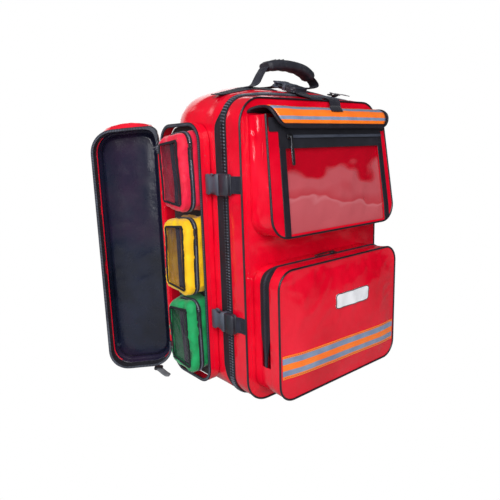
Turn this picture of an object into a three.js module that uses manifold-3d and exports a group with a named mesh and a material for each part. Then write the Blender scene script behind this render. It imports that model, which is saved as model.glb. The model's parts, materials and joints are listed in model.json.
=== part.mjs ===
// Trauma backpack, standing upright with its left side pocket open. Millimetres.
// X runs to the right of the bag, Y from the front lid to the wearer's back, Z up.
// The origin is on the ground, under the middle of the bag.
import * as THREE from 'three';
import { mergeVertices } from 'three/addons/utils/BufferGeometryUtils.js';
import Module from 'manifold-3d';

const wasm = await Module();
wasm.setup();

// Driving dimensions
const WIDTH = 370;
const HEIGHT = 554;
const DEPTH = 240;
const CORNER = 46;
const CLOTH = 3;
const GAP = 0.4;
const PIPE = 2.6;
const WEB = 30;
const WEB_THICK = 2;
const LID_DEPTH = 35;
const LID_LIFT = 2.8;
const ZIP_MID = 47;
const ZIP_BACK = 66;
const POD = { front: 89, back: 224, bottom: 16, top: 519, corner: 30, proud: 20 };
const DOOR_DEPTH = 40;
const DOOR_OPEN = 130;
const DOC = { half: 166, bottom: 316, top: 524, depth: 38, lean: 13 };
const LOW = { half: 166, bottom: 24, top: 257, corner: 42, depth: 68, flange: 18 };
const BUCKLE = { width: 39, thick: 12, socket: 38, base: 26, prong: 23 };
const TAPE = 44;
const HALF = WIDTH / 2;

const rad = (deg) => deg * Math.PI / 180;
const fromFront = (t) => t - DEPTH / 2;

// Each map turns a flat outline (a, b) and a depth c into a point
const FRONT = (a, b, c) => [a, c, b];
const SIDE = (a, b, c) => [c, a, b];
const TOP = (a, b, c) => [a, b, c];

// Rise of the domed top above the front edge at distance t behind the front face
const DOME = [[-200, 0], [0, 0], [35, 9], [66, 20], [100, 30], [140, 36], [180, 33], [215, 20], [240, 2],
  [400, 2]];
function rise(x, t) {
  const next = DOME.findIndex((row) => row[0] >= t);
  const [t0, z0] = DOME[Math.max(next - 1, 0)];
  const [t1, z1] = DOME[Math.max(next, 1)];
  const middle = z0 + (z1 - z0) * (t - t0) / (t1 - t0);
  const out = Math.min(Math.max((Math.abs(x) - 70) / 115, 0), 1);
  return middle * (1 - 0.6 * out * out * (3 - 2 * out));
}

const top = (x, t) => HEIGHT + rise(x, t);

// Corners of a rounded rectangle, each a list of points with outward normals
function corners(a0, a1, b0, b1, r, steps) {
  const centres = [[a1 - r, b1 - r], [a0 + r, b1 - r], [a0 + r, b0 + r], [a1 - r, b0 + r]];
  return centres.map(([ca, cb], k) => {
    const arc = [];
    for (let i = 0; i <= steps; i += 1) {
      const turn = rad(90 * (k + i / steps));
      const na = Math.cos(turn);
      const nb = Math.sin(turn);
      arc.push({ a: ca + r * na, b: cb + r * nb, na, nb });
    }
    return arc;
  });
}

function outline(a0, a1, b0, b1, r, steps = 5) {
  return corners(a0, a1, b0, b1, r, steps).flat();
}

// The same outline left open between two corners, with a straight tail at each end
function openRun(a0, a1, b0, b1, r, first, tail, steps = 5) {
  const arcs = corners(a0, a1, b0, b1, r, steps);
  const order = [0, 1, 2, 3].map((k) => arcs[(k + first) % 4]).flat();
  const start = order[0];
  const end = order[order.length - 1];
  const before = { ...start, a: start.a + start.nb * tail, b: start.b - start.na * tail };
  const after = { ...end, a: end.a - end.nb * tail, b: end.b + end.na * tail };
  return [before, ...order, after];
}

// Closed body through rows of rings with the same number of points
function skin(rows, endless = false) {
  const count = rows[0].length;
  const points = rows.flat();
  const index = [];
  const last = endless ? rows.length : rows.length - 1;
  for (let i = 0; i < last; i += 1) {
    const here = i * count;
    const there = ((i + 1) % rows.length) * count;
    for (let j = 0; j < count; j += 1) {
      const k = (j + 1) % count;
      index.push(here + j, here + k, there + k, here + j, there + k, there + j);
    }
  }
  if (!endless) {
    const normal = new THREE.Vector3();
    const origin = new THREE.Vector3(...rows[0][0]);
    for (let j = 1; j < count - 1; j += 1) {
      const p = new THREE.Vector3(...rows[0][j]).sub(origin);
      const q = new THREE.Vector3(...rows[0][j + 1]).sub(origin);
      normal.add(p.cross(q));
    }
    const side = new THREE.Vector3(0, 0, 1).cross(normal);
    if (side.length() < 1e-6 * normal.length()) side.set(1, 0, 0);
    side.normalize();
    const rise = normal.clone().cross(side).normalize();
    const flat = rows[0].map((p) => {
      const v = new THREE.Vector3(...p);
      return new THREE.Vector2(v.dot(side), v.dot(rise));
    });
    const shift = (rows.length - 1) * count;
    for (const [p, q, r] of THREE.ShapeUtils.triangulateShape(flat, [])) {
      index.push(r, q, p);
      index.push(shift + p, shift + q, shift + r);
    }
  }
  const geometry = new THREE.BufferGeometry();
  geometry.setAttribute('position', new THREE.Float32BufferAttribute(points.flat(), 3));
  geometry.setIndex(index);
  return faceOut(geometry);
}

function volume(geometry) {
  const p = geometry.attributes.position;
  const ids = geometry.index.array;
  const corner = [0, 1, 2].map(() => new THREE.Vector3());
  let sum = 0;
  for (let i = 0; i < ids.length; i += 3) {
    corner.forEach((v, k) => v.fromBufferAttribute(p, ids[i + k]));
    sum += corner[0].dot(corner[1].cross(corner[2])) / 6;
  }
  return sum;
}

function faceOut(geometry) {
  if (volume(geometry) < 0) {
    const ids = geometry.index.array;
    for (let i = 0; i < ids.length; i += 3) {
      [ids[i], ids[i + 1]] = [ids[i + 1], ids[i]];
    }
  }
  return geometry;
}

function toSolid(geometry) {
  const bare = geometry.clone();
  bare.deleteAttribute('normal');
  bare.deleteAttribute('uv');
  const merged = mergeVertices(bare, 1e-4);
  return new wasm.Manifold(new wasm.Mesh({
    numProp: 3,
    vertProperties: new Float32Array(merged.attributes.position.array),
    triVerts: new Uint32Array(merged.index.array),
  }));
}

function fromSolid(solid) {
  const mesh = solid.getMesh();
  const geometry = new THREE.BufferGeometry();
  geometry.setAttribute('position', new THREE.BufferAttribute(mesh.vertProperties, 3));
  geometry.setIndex(new THREE.BufferAttribute(mesh.triVerts, 1));
  return geometry;
}

const fuse = (...all) => fromSolid(all.map(toSolid).reduce((p, q) => p.add(q)));
const cut = (body, ...tools) => fromSolid(tools.map(toSolid).reduce((p, q) => p.subtract(q), toSolid(body)));

// Section (outward, depth) carried along an outline
function sweep(path, section, map, endless = true) {
  const rows = path.map((p) => section.map(([u, c]) => map(p.a + p.na * u, p.b + p.nb * u, c)));
  return skin(rows, endless);
}

const band = (u0, u1, c0, c1) => [[u0, c0], [u1, c0], [u1, c1], [u0, c1]];

function cord(u, c, radius = PIPE, sides = 8) {
  const ring = [];
  for (let i = 0; i < sides; i += 1) {
    const turn = 2 * Math.PI * i / sides;
    ring.push([u + radius * Math.cos(turn), c + radius * Math.sin(turn)]);
  }
  return ring;
}

// Solid between outlines at several depths; each level is [depth, inset]
function loft(rect, r, levels, map, steps = 5) {
  const [a0, a1, b0, b1] = rect;
  const rows = levels.map(([c, inset]) => {
    const ring = outline(a0 + inset, a1 - inset, b0 + inset, b1 - inset, Math.max(r - inset, 1), steps);
    return ring.map((p) => map(p.a, p.b, c));
  });
  return skin(rows);
}

function plate(rect, r, c0, c1, map, steps = 5) {
  return loft(rect, r, [[c0, 0], [c1, 0]], map, steps);
}

function cushion(rect, r, c0, c1, soft, map, steps = 3) {
  const levels = [[c0, soft], [c0 + soft * 0.4, soft * 0.3], [c0 + soft, 0], [c1 - soft, 0],
    [c1 - soft * 0.4, soft * 0.3], [c1, soft]];
  return loft(rect, r, levels, map, steps);
}

function block(x0, x1, y0, y1, z0, z1) {
  const geometry = new THREE.BoxGeometry(x1 - x0, y1 - y0, z1 - z0);
  geometry.translate((x0 + x1) / 2, (y0 + y1) / 2, (z0 + z1) / 2);
  return geometry;
}

// Flat strap: a line of points (p, q) given thickness in its plane and width w0 to w1 across it.
// taper narrows both ends on each side
function ribbon(line, thick, w0, w1, map, taper = 0) {
  const rows = line.map(([p, q], i) => {
    const ends = i === 0 || i === line.length - 1 ? taper : 0;
    const low = w0 + ends;
    const high = w1 - ends;
    const [p0, q0] = line[Math.max(i - 1, 0)];
    const [p1, q1] = line[Math.min(i + 1, line.length - 1)];
    const long = Math.hypot(p1 - p0, q1 - q0);
    const np = -(q1 - q0) / long * thick / 2;
    const nq = (p1 - p0) / long * thick / 2;
    return [map(p + np, q + nq, low), map(p + np, q + nq, high), map(p - np, q - nq, high),
      map(p - np, q - nq, low)];
  });
  return skin(rows);
}

// The same line moved sideways, towards the side that faces up when it runs to -p
function shifted(line, far) {
  return line.map(([p, q], i) => {
    const [p0, q0] = line[Math.max(i - 1, 0)];
    const [p1, q1] = line[Math.min(i + 1, line.length - 1)];
    const long = Math.hypot(p1 - p0, q1 - q0);
    return [p + (q1 - q0) / long * far, q - (p1 - p0) / long * far];
  });
}

// Lift everything near the top edge onto the dome
function crown(geometry) {
  const p = geometry.attributes.position;
  for (let i = 0; i < p.count; i += 1) {
    const z = p.getZ(i);
    if (z > HEIGHT - CORNER - 1) p.setZ(i, z + rise(p.getX(i), p.getY(i) + DEPTH / 2));
  }
  return geometry;
}

// A flat strip lying on the dome: along it, across it, and thick
function onDome(x0, x1, t0, t1, lift, thick) {
  const steps = Math.ceil(Math.abs(x1 - x0) / 20);
  const rows = [];
  for (let i = 0; i <= steps; i += 1) {
    const x = x0 + (x1 - x0) * i / steps;
    const edge = [[t0, lift], [t1, lift], [t1, lift + thick], [t0, lift + thick]];
    rows.push(edge.map(([t, up]) => [x, fromFront(t), top(x, t) + up]));
  }
  return skin(rows);
}

// The document pocket stands further out at its bottom than at its top, and its right edge flares there
function lean(geometry) {
  const p = geometry.attributes.position;
  for (let i = 0; i < p.count; i += 1) {
    if (p.getY(i) < fromFront(-20)) {
      const drop = (DOC.top - p.getZ(i)) / (DOC.top - DOC.bottom);
      const side = (p.getX(i) + DOC.half) / (2 * DOC.half);
      const flare = -12 + 20 * Math.min(drop / 0.85, 1);
      p.setX(i, p.getX(i) + 6 * (1 - side) + flare * side);
      p.setY(i, p.getY(i) - DOC.lean * drop);
    }
  }
  return geometry;
}

// Put a shape that was made about the origin, with its length along +Y, somewhere else
function place(geometry, x, y, z, turnX = 0, turnY = 0) {
  geometry.rotateY(rad(turnY));
  geometry.rotateX(rad(turnX));
  return geometry.translate(x, y, z);
}

const model = new THREE.Group();
model.name = 'trauma_backpack';

function add(name, geometry, colour, roughness = 0.5) {
  const bare = geometry.index ? geometry.clone() : mergeVertices(geometry);
  bare.deleteAttribute('normal');
  bare.deleteAttribute('uv');
  const clean = mergeVertices(bare, 1e-3);
  clean.computeVertexNormals();
  const mesh = new THREE.Mesh(clean, new THREE.MeshStandardMaterial({ color: colour, roughness }));
  mesh.name = name;
  model.add(mesh);
}

const RED = '#c8102a';
const BLACK = '#1c1c24';
const GREY = '#4a4d5c';
const ORANGE = '#ff7a12';

// Main shell: a hollow bag, open to the front
const shellRect = [-HALF, HALF, 0, HEIGHT];
const shellOut = loft(shellRect, CORNER, [[fromFront(ZIP_BACK), 0], [fromFront(110), 0], [fromFront(170), 0],
  [fromFront(218), 0], [fromFront(231), 3], [fromFront(237), 8], [fromFront(DEPTH), 16]], FRONT);
const wall = CLOTH + 1;
const shellIn = loft(shellRect, CORNER, [[fromFront(ZIP_BACK - 1), wall], [fromFront(110), wall],
  [fromFront(170), wall], [fromFront(216), wall], [fromFront(228), wall + 3],
  [fromFront(DEPTH - wall), wall + 12]],
FRONT);
add('main_shell', cut(crown(shellOut), crown(shellIn)), RED, 0.2);

const zipTail = 25;
const zipPath = openRun(-HALF, HALF, 0, HEIGHT, CORNER, 3, zipTail);
const zipRear = band(-CLOTH, 0, fromFront(ZIP_MID + 0.2), fromFront(ZIP_BACK - GAP));
add('main_zip_rear', crown(sweep(zipPath, zipRear, FRONT, false)), BLACK);
const stripHalf = HALF - CORNER - zipTail - 1;
add('hinge_strip',
  block(-stripHalf, stripHalf, fromFront(LID_DEPTH + GAP), fromFront(ZIP_BACK - GAP), 0.2, CLOTH), RED);

// Inside of the main shell
add('divider', cushion([-176, 176, fromFront(80), fromFront(228)], 12, 262, 272, 3, TOP), BLACK);

// Back pad, shoulder straps and chest strap
const backY = fromFront(DEPTH) + GAP;
add('back_panel', cushion([-160, 160, 34, 520], 40, backY, backY + 13, 4, FRONT, 4), BLACK);
const strapLine = [[backY + 17, 512], [backY + 34, 516], [backY + 50, 500], [backY + 58, 462],
  [backY + 58, 400], [backY + 54, 330], [backY + 44, 262]];
const webLine = [[backY + 43.5, 259], [backY + 30, 170], [backY + 15.5, 66]];
for (const [name, side] of [['left', -1], ['right', 1]]) {
  const strap = ribbon(strapLine, 13, -32, 32, SIDE);
  add(`shoulder_strap_${name}`, strap.translate(side * 88, 0, 0), BLACK);
  const web = ribbon(webLine, WEB_THICK, -13, 13, SIDE);
  add(`strap_web_${name}`, web.translate(side * 88, 0, 0), BLACK);
}
add('chest_strap', block(-55.6, 55.6, backY + 56, backY + 59, 406, 430), BLACK);

// Left side pocket of the main shell
const podRect = [fromFront(POD.front), fromFront(POD.back), POD.bottom, POD.top];
const podOuter = -HALF - POD.proud;
const podPath = outline(...podRect, POD.corner);
add('pod_wall', sweep(podPath, band(-CLOTH, 0, -HALF - GAP, podOuter), SIDE), RED, 0.2);
const podZipPath = openRun(...podRect, POD.corner, 0, 12);
add('pod_zip', sweep(podZipPath, band(-CLOTH - 3, 0.6, podOuter - GAP, podOuter - 3), SIDE, false), BLACK);

// Side-release buckles: sockets on the shell, prongs on the lid
function socket() {
  const half = BUCKLE.width / 2;
  const body = cushion([-half, half, 0, BUCKLE.socket], 6, -BUCKLE.thick / 2, BUCKLE.thick / 2, 2, TOP);
  const hollow = block(-half + 3.5, half - 3.5, -1, BUCKLE.prong + 3, -4, 4);
  return cut(body, hollow);
}

function tongue() {
  const half = BUCKLE.width / 2;
  const thick = BUCKLE.thick / 2 - 0.3;
  const base = cushion([-half + 0.5, half - 0.5, -BUCKLE.base, -GAP], 6, -thick, thick, 2, TOP);
  const slot = block(-half + 4, half - 4, -20, -15, -thick - 1, thick + 1);
  const prongs = [-13, 0, 13].map((x) => block(x - 2.5, x + 2.5, -4, BUCKLE.prong, -3.2, 3.2));
  return fuse(cut(base, slot), ...prongs);
}

const mouth = 49;
const sideBuckles = [['upper', 409], ['lower', 155]];
for (const [name, z] of sideBuckles) {
  const x = -HALF - 2.2 - BUCKLE.thick / 2;
  add(`buckle_socket_${name}`, place(socket(), x, fromFront(mouth), z, 0, 90), GREY, 0.4);
  add(`buckle_tongue_${name}`, place(tongue(), x, fromFront(mouth), z, 0, 90), GREY, 0.4);
  const webX = -HALF - GAP - WEB_THICK;
  const from = fromFront(4);
  const to = fromFront(mouth - BUCKLE.base - GAP);
  add(`lid_web_${name}`, block(webX, webX + WEB_THICK, from, to, z - WEB / 2, z + WEB / 2), BLACK);
}
const topMouth = 64;
const topTilt = 18;
const topZ = top(0, topMouth) + 9.5;
add('buckle_socket_top', place(socket(), 0, fromFront(topMouth), topZ, topTilt), GREY, 0.4);
add('buckle_tongue_top', place(tongue(), 0, fromFront(topMouth), topZ, topTilt), GREY, 0.4);
const frontWeb = [[3, 3.6], [18, 3], [36, 3.4]];
const frontLine = frontWeb.map(([t, up]) => [fromFront(t), top(0, t) + up]);
add('lid_web_top', ribbon(frontLine, WEB_THICK, -WEB / 2, WEB / 2, SIDE), BLACK);
const tailLine = [103, 125, 150, 175, 200].map((t) => [fromFront(t), top(0, t) + 2.2]);
tailLine[0][1] += 5;
add('top_web', ribbon(tailLine, WEB_THICK, -WEB / 2, WEB / 2, SIDE), BLACK);

// Carry handle on its two sewn patches; its right leg folds back under the grip
const handleT = 92;
for (const [name, x0, x1] of [['left', -165, -25], ['right', 25, 130]]) {
  add(`handle_patch_${name}`, onDome(x0, x1, handleT - 13, handleT + 13, GAP, 1.6), BLACK);
}
const seat = top(-70, handleT) + 4;
const handleLine = [[-70, seat + 3], [-66, seat + 15], [-58, seat + 30], [-46, seat + 41], [8, seat + 47],
  [52, seat + 41], [78, seat + 28], [95, seat + 18], [97, seat + 11], [88, seat + 8], [70, seat + 8]];
const handleY = fromFront(handleT);
add('handle_web', ribbon(handleLine, WEB_THICK, handleY - 13, handleY + 13, FRONT, 6), BLACK);
const gripLine = handleLine.slice(3, 7);
const gripOut = ribbon(gripLine, 15, handleY - 17, handleY + 17, FRONT);
const gripCore = [handleLine[2], ...gripLine, handleLine[7]];
const gripIn = ribbon(gripCore, WEB_THICK + 1, handleY - 13.5, handleY + 13.5, FRONT);
add('handle_grip', cut(gripOut, gripIn), BLACK, 0.6);

// Slider pair of the main zip, parked at the right end of the top
const runnerZ = top(88, ZIP_MID + 8) + GAP;
const runnerY = fromFront(ZIP_MID);
const runner = fuse(block(88, 118, runnerY - 6, runnerY + 6, runnerZ, runnerZ + 7),
  block(112, 128, runnerY - 4, runnerY + 4, runnerZ + 2, runnerZ + 5));
add('main_slider', runner, GREY, 0.3);

// Front lid
const faceRect = [-HALF + 3.2, HALF - 3.2, LID_LIFT + 3.2, HEIGHT - 3.2];
add('lid_front', plate(faceRect, CORNER - 3.2, fromFront(0), fromFront(CLOTH), FRONT), RED, 0.2);
const frontPath = outline(-HALF, HALF, LID_LIFT, HEIGHT, CORNER);
const lidBand = band(-CLOTH, 0, fromFront(CLOTH + GAP), fromFront(LID_DEPTH));
const lidMid = lidBand.toSpliced(2, 0, [0, fromFront(20)]).toSpliced(5, 0, [-CLOTH, fromFront(20)]);
add('lid_gusset', crown(sweep(frontPath, lidMid, FRONT)), RED, 0.2);
add('lid_piping', sweep(frontPath, cord(0, fromFront(GAP)), FRONT), BLACK);
const zipFront = band(-CLOTH, 0, fromFront(LID_DEPTH + GAP), fromFront(ZIP_MID - 0.2));
add('main_zip_front', crown(sweep(zipPath, zipFront, FRONT, false)), BLACK);

// Document pocket on the upper half of the lid
const docRect = [-DOC.half, DOC.half, DOC.bottom, DOC.top];
const docPath = outline(...docRect, 30);
const docArcs = corners(...docRect, 30, 5);
const docRun = [{ a: -DOC.half, b: DOC.top, na: -1, nb: 0 }, ...docArcs[2], ...docArcs[3],
  { a: DOC.half, b: DOC.top, na: 1, nb: 0 }];
const docBandShape = band(-CLOTH, 0, fromFront(-GAP), fromFront(-DOC.depth + 3.4));
add('doc_gusset', lean(sweep(docRun, docBandShape, FRONT, false)), RED, 0.2);
const docFace = plate([-DOC.half + 3.2, DOC.half - 3.2, DOC.bottom + 3.2, DOC.top - 3.2], 27,
  fromFront(-DOC.depth), fromFront(-DOC.depth + 3), FRONT);
const view = [-126, 138, 322, 470];
const viewHole = plate(view, 3, fromFront(-DOC.depth - 1), fromFront(-DOC.depth + 4), FRONT, 1);
add('doc_face', lean(cut(docFace, viewHole)), RED, 0.2);
const paneRect = [view[0] + GAP, view[1] - GAP, view[2] + GAP, view[3] - GAP];
const pane = plate(paneRect, 3, fromFront(-DOC.depth + 1), fromFront(-DOC.depth + 2.4), FRONT, 1);
add('doc_window', lean(pane), '#d8a0a8', 0.1);
add('doc_piping', lean(sweep(docPath, cord(0, fromFront(-DOC.depth + 0.4)), FRONT)), BLACK);
const docBand = [-148, 148, 472, 514];
add('doc_zip_band',
  lean(plate(docBand, 4, fromFront(-DOC.depth - 2), fromFront(-DOC.depth - GAP), FRONT, 2)), BLACK);
const zipLine = { x: -113, z: 488, front: fromFront(-DOC.depth - 4) - DOC.lean * 0.2 };
const docRunner = fuse(block(zipLine.x - 6, zipLine.x + 6, zipLine.front - 5, zipLine.front, zipLine.z - 5,
  zipLine.z + 5), block(zipLine.x - 4, zipLine.x + 4, zipLine.front - 7, zipLine.front - 4, zipLine.z - 52,
  zipLine.z + 1));
add('doc_slider', docRunner, GREY, 0.3);

// Flap over the mouth of the document pocket
const flapSide = [[-10, 535.5], [-22, 538], [-40, 536], [-52, 528], [-56, 516], [-58, 502]];
const flapLine = flapSide.map(([t, z]) => [fromFront(t), z]);
const tapeLine = shifted(flapLine, 2.6);
tapeLine[5][1] += 9;
add('flap', ribbon(flapLine, CLOTH, -166, 160, SIDE), BLACK);
add('flap_tape', ribbon(tapeLine, 0.9, -144, 152, SIDE), ORANGE, 0.4);
add('flap_strap', ribbon(shifted(flapLine, 4.9).slice(0, 3), WEB_THICK, 31, 61, SIDE), BLACK);

// Lower pocket: a flange on the lid and a zipped cover that folds down
const lowRect = [-LOW.half, LOW.half, LOW.bottom, LOW.top];
const lowPath = outline(...lowRect, LOW.corner);
add('low_flange', sweep(lowPath, band(-CLOTH, 0, fromFront(-GAP), fromFront(-LOW.flange)), FRONT), RED, 0.2);
const zipEnd = LOW.flange + 24;
const lowArcs = corners(...lowRect, LOW.corner, 5);
const zipFoot = 82;
const upperRun = [{ a: LOW.half, b: zipFoot, na: 1, nb: 0 }, ...lowArcs[0], ...lowArcs[1],
  { a: -LOW.half, b: zipFoot, na: -1, nb: 0 }];
const lowerRun = [{ a: -LOW.half, b: zipFoot - 1, na: -1, nb: 0 }, ...lowArcs[2], ...lowArcs[3],
  { a: LOW.half, b: zipFoot - 1, na: 1, nb: 0 }];
add('low_zip',
  sweep(upperRun, band(-CLOTH, 0, fromFront(-LOW.flange - GAP), fromFront(-zipEnd)), FRONT, false), BLACK);
const lowFront = fromFront(-LOW.depth);
const lowRing = sweep(lowPath, band(-CLOTH, 0, fromFront(-zipEnd - GAP), lowFront + 3.4), FRONT);
const lowFloor = sweep(lowerRun, band(-CLOTH, 0, fromFront(-LOW.flange - GAP), fromFront(-zipEnd - 2)),
  FRONT, false);
const lowFace = plate([-LOW.half + 2.3, LOW.half - 2.3, LOW.bottom + 2.3, LOW.top - 2.3], LOW.corner - 2.3,
  lowFront + 6, lowFront, FRONT);
add('low_cover', fuse(lowRing, lowFloor, lowFace), RED, 0.2);
add('low_piping', sweep(lowPath, cord(0.6, lowFront + 0.4), FRONT), BLACK);
add('low_tape', block(-161, 161, lowFront - GAP - 1, lowFront - GAP, 68, 68 + TAPE), ORANGE, 0.4);
add('low_label', plate([-20, 76, 163, 203], 9, lowFront - GAP - 1.2, lowFront - GAP, FRONT, 3), '#e8e8ec',
  0.5);
const lowRunY = fromFront(-LOW.flange - 12);
const lowRunner = fuse(block(8, 22, lowRunY - 6, lowRunY + 6, LOW.top + GAP, LOW.top + 8),
  block(-44, 12, lowRunY - 5, lowRunY + 5, LOW.top + 4, LOW.top + 7));
add('low_slider', lowRunner, GREY, 0.3);

// Side door, made shut over the side pocket and then swung open about its rear edge
const doorHinge = [podOuter - 3.4, fromFront(POD.back + 2)];
const doorRim = podOuter - 3.4;
const doorFace = doorRim - DOOR_DEPTH;
const doorOut = loft(podRect, POD.corner,
  [[doorRim - 3.4, 0], [doorFace + 12, 0], [doorFace + 3, 4], [doorFace, 12]], SIDE);
const doorIn = loft(podRect, POD.corner, [[doorRim - 2, CLOTH], [doorFace + 12, CLOTH],
  [doorFace + 5, CLOTH + 4], [doorFace + CLOTH, CLOTH + 12]], SIDE);
const rimPath = openRun(...podRect, POD.corner, 0, 12);
const doorZip = sweep(rimPath, band(-CLOTH - 3, 0.6, doorRim - 3, doorRim - GAP), SIDE, false);
const liningOut = loft(podRect, POD.corner, [[doorRim - 4, CLOTH + GAP], [doorFace + 12, CLOTH + GAP],
  [doorFace + 5, CLOTH + 4 + GAP], [doorFace + CLOTH + GAP, CLOTH + 13]], SIDE);
const liningIn = loft(podRect, POD.corner, [[doorRim - 3, 5.4], [doorFace + 12, 5.4], [doorFace + 8, 9],
  [doorFace + 5.4, 17]], SIDE);
const rimZ = POD.bottom;
const rimY = doorHinge[1] - 34;
const pullLine = [[rimY - 2, rimZ - 4.5], [rimY + 16, rimZ - 9], [rimY + 44, rimZ - 11.5]];
const doorRunner = fuse(block(doorRim - 9, doorRim, rimY - 7, rimY + 7, rimZ - 8, rimZ - 1),
  ribbon(pullLine, 4, doorRim - 9, doorRim + 1, SIDE));
const doorPieces = [
  ['door_shell', cut(doorOut, doorIn), RED, 0.2],
  ['door_lining', cut(liningOut, liningIn), BLACK, 0.25],
  ['door_zip', doorZip, BLACK, 0.5],
  ['door_slider', doorRunner, GREY, 0.3],
];
for (const [name, geometry, colour, roughness] of doorPieces) {
  geometry.translate(-doorHinge[0], -doorHinge[1], 0);
  geometry.rotateZ(rad(-DOOR_OPEN));
  geometry.translate(doorHinge[0], doorHinge[1], 0);
  add(name, geometry, colour, roughness);
}

// Three pouches in the side pocket, each a tub with a zipped cover and a clear window
const POUCHES = [['red', 356, '#e0103c'], ['yellow', 199, '#f2c400'], ['green', 42, '#0a9a50']];
const pouchTall = 153;
const pouchFront = fromFront(98);
const pouchBack = fromFront(190);
const pouchRoot = -HALF - 2;
const pouchRim = podOuter - 14;
const pouchFace = podOuter - 32;
for (const [name, z, colour] of POUCHES) {
  const rect = [pouchFront, pouchBack, z, z + pouchTall];
  const tubOut = loft(rect, 14, [[pouchRoot, 6], [pouchRoot - 4, 0], [pouchRim + GAP, 0]], SIDE, 3);
  const tubIn = loft(rect, 14, [[pouchRoot - 3, 8], [pouchRoot - 7, CLOTH], [pouchRim - 1, CLOTH]], SIDE, 3);
  add(`pouch_${name}_tub`, cut(tubOut, tubIn), colour, 0.7);
  const lidOut = loft(rect, 14, [[pouchRim - GAP, 0], [pouchFace + 5, 0], [pouchFace, 6]], SIDE, 3);
  const lidIn = loft(rect, 14, [[pouchRim + 1, CLOTH], [pouchFace + 6, CLOTH], [pouchFace + 3, 8]], SIDE, 3);
  const glass = [pouchFront + 13, pouchBack - 13, z + 13, z + pouchTall - 13];
  const hole = plate(glass, 3, pouchFace - 1, pouchFace + 5, SIDE, 1);
  add(`pouch_${name}_cover`, cut(lidOut, lidIn, hole), colour, 0.7);
  const film = [glass[0] + GAP, glass[1] - GAP, glass[2] + GAP, glass[3] - GAP];
  add(`pouch_${name}_window`, plate(film, 3, pouchFace + 0.8, pouchFace + 2, SIDE, 1), '#a8b0b8', 0.1);
}

export default model;
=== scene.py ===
import json
import math

import bmesh
import bpy
from mathutils import Matrix, Vector, noise
from mathutils.bvhtree import BVHTree


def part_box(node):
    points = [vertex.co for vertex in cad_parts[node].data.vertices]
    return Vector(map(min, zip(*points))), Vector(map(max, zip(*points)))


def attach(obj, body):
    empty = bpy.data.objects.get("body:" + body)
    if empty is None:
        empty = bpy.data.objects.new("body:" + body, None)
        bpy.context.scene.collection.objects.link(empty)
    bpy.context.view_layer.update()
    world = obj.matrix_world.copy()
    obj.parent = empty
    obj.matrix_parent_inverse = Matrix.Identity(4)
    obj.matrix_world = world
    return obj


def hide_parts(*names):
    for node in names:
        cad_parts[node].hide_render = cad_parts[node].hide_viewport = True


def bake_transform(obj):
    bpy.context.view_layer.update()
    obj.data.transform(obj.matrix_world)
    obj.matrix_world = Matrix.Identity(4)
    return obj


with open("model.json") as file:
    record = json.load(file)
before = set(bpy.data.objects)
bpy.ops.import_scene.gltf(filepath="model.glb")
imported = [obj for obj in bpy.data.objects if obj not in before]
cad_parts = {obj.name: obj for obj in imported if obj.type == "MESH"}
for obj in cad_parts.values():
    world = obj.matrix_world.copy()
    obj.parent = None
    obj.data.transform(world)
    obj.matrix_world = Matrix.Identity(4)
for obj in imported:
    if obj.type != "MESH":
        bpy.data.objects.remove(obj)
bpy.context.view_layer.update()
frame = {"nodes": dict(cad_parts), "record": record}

MM = 0.001


# ---------------------------------------------------------------- measures, in millimetres
def low_high(node):
    """Lowest and highest corner of a CAD node at rest, in millimetres."""
    low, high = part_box(node)
    return low / MM, high / MM


LID_LOW, LID_HIGH = low_high("lid_gusset")
SHELL_LOW, SHELL_HIGH = low_high("main_shell")
HALF = LID_HIGH.x
FACE_Y = low_high("lid_front")[0].y
BACK_Y = SHELL_HIGH.y
FOOT = LID_LOW.z
TALL = low_high("lid_front")[1].z + 3.2
CORNER = 46
REAR_ROUND = 80
CORD = 1.9
VINYL = 2.6
ZIP_MID = FACE_Y + 47
ZIP_BACK = SHELL_LOW.y
BAG_CORE = Vector((0, 0, TALL / 2))
TOWARDS_VIEWER = Vector((0, -1, 0))
CAMERA_PLACE = Vector((-717.8, -783.5, 471.4))
CAMERA_HEADING = 39.5
CAMERA_DOWN = 11.59
CAMERA_ROLL = -1.78
CAMERA_LENS = 35.94

DOME = [(-200, 0), (0, 0), (35, 9), (66, 20), (100, 30), (140, 36), (180, 33), (215, 20), (240, 2), (400, 2)]


def smooth(x):
    """Soft step from 0 to 1."""
    x = min(max(x, 0), 1)
    return x * x * (3 - 2 * x)


def rise(x, y):
    """Height of the domed top above the lid's own top edge."""
    t = y - FACE_Y
    for (t0, z0), (t1, z1) in zip(DOME, DOME[1:]):
        if t <= t1:
            middle = z0 + (z1 - z0) * (t - t0) / (t1 - t0)
            return middle * (1 - 0.6 * smooth((abs(x) - 70) / 115))
    return 0


def tuck(p):
    """Round the rear corners off, the more so near the top."""
    dx, dy = abs(p.x) - (HALF - REAR_ROUND), p.y - (BACK_Y - REAR_ROUND)
    if dx <= 0 or dy <= 0:
        return p
    keep = max(dx, dy) / math.hypot(dx, dy)
    share = smooth((p.z - 430) / 70) * (1 - keep)
    return Vector((math.copysign(abs(p.x) - dx * share, p.x), p.y - dy * share, p.z))


def crown(p):
    """Lift a point near the top of the bag onto the dome."""
    share = min(max((p.z - (TALL - 150)) / (149 - CORNER), 0), 1)
    return tuck(Vector((p.x, p.y, p.z + rise(p.x, p.y) * share)))


# A flat drawing's point (a, b) and a depth c, set on the front, on the left side or lying level.
def FRONT(a, b, c):
    return Vector((a, c, b))


def SIDE(a, b, c):
    return Vector((c, a, b))


def LEVEL(a, b, c):
    return Vector((a, b, c))


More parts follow.
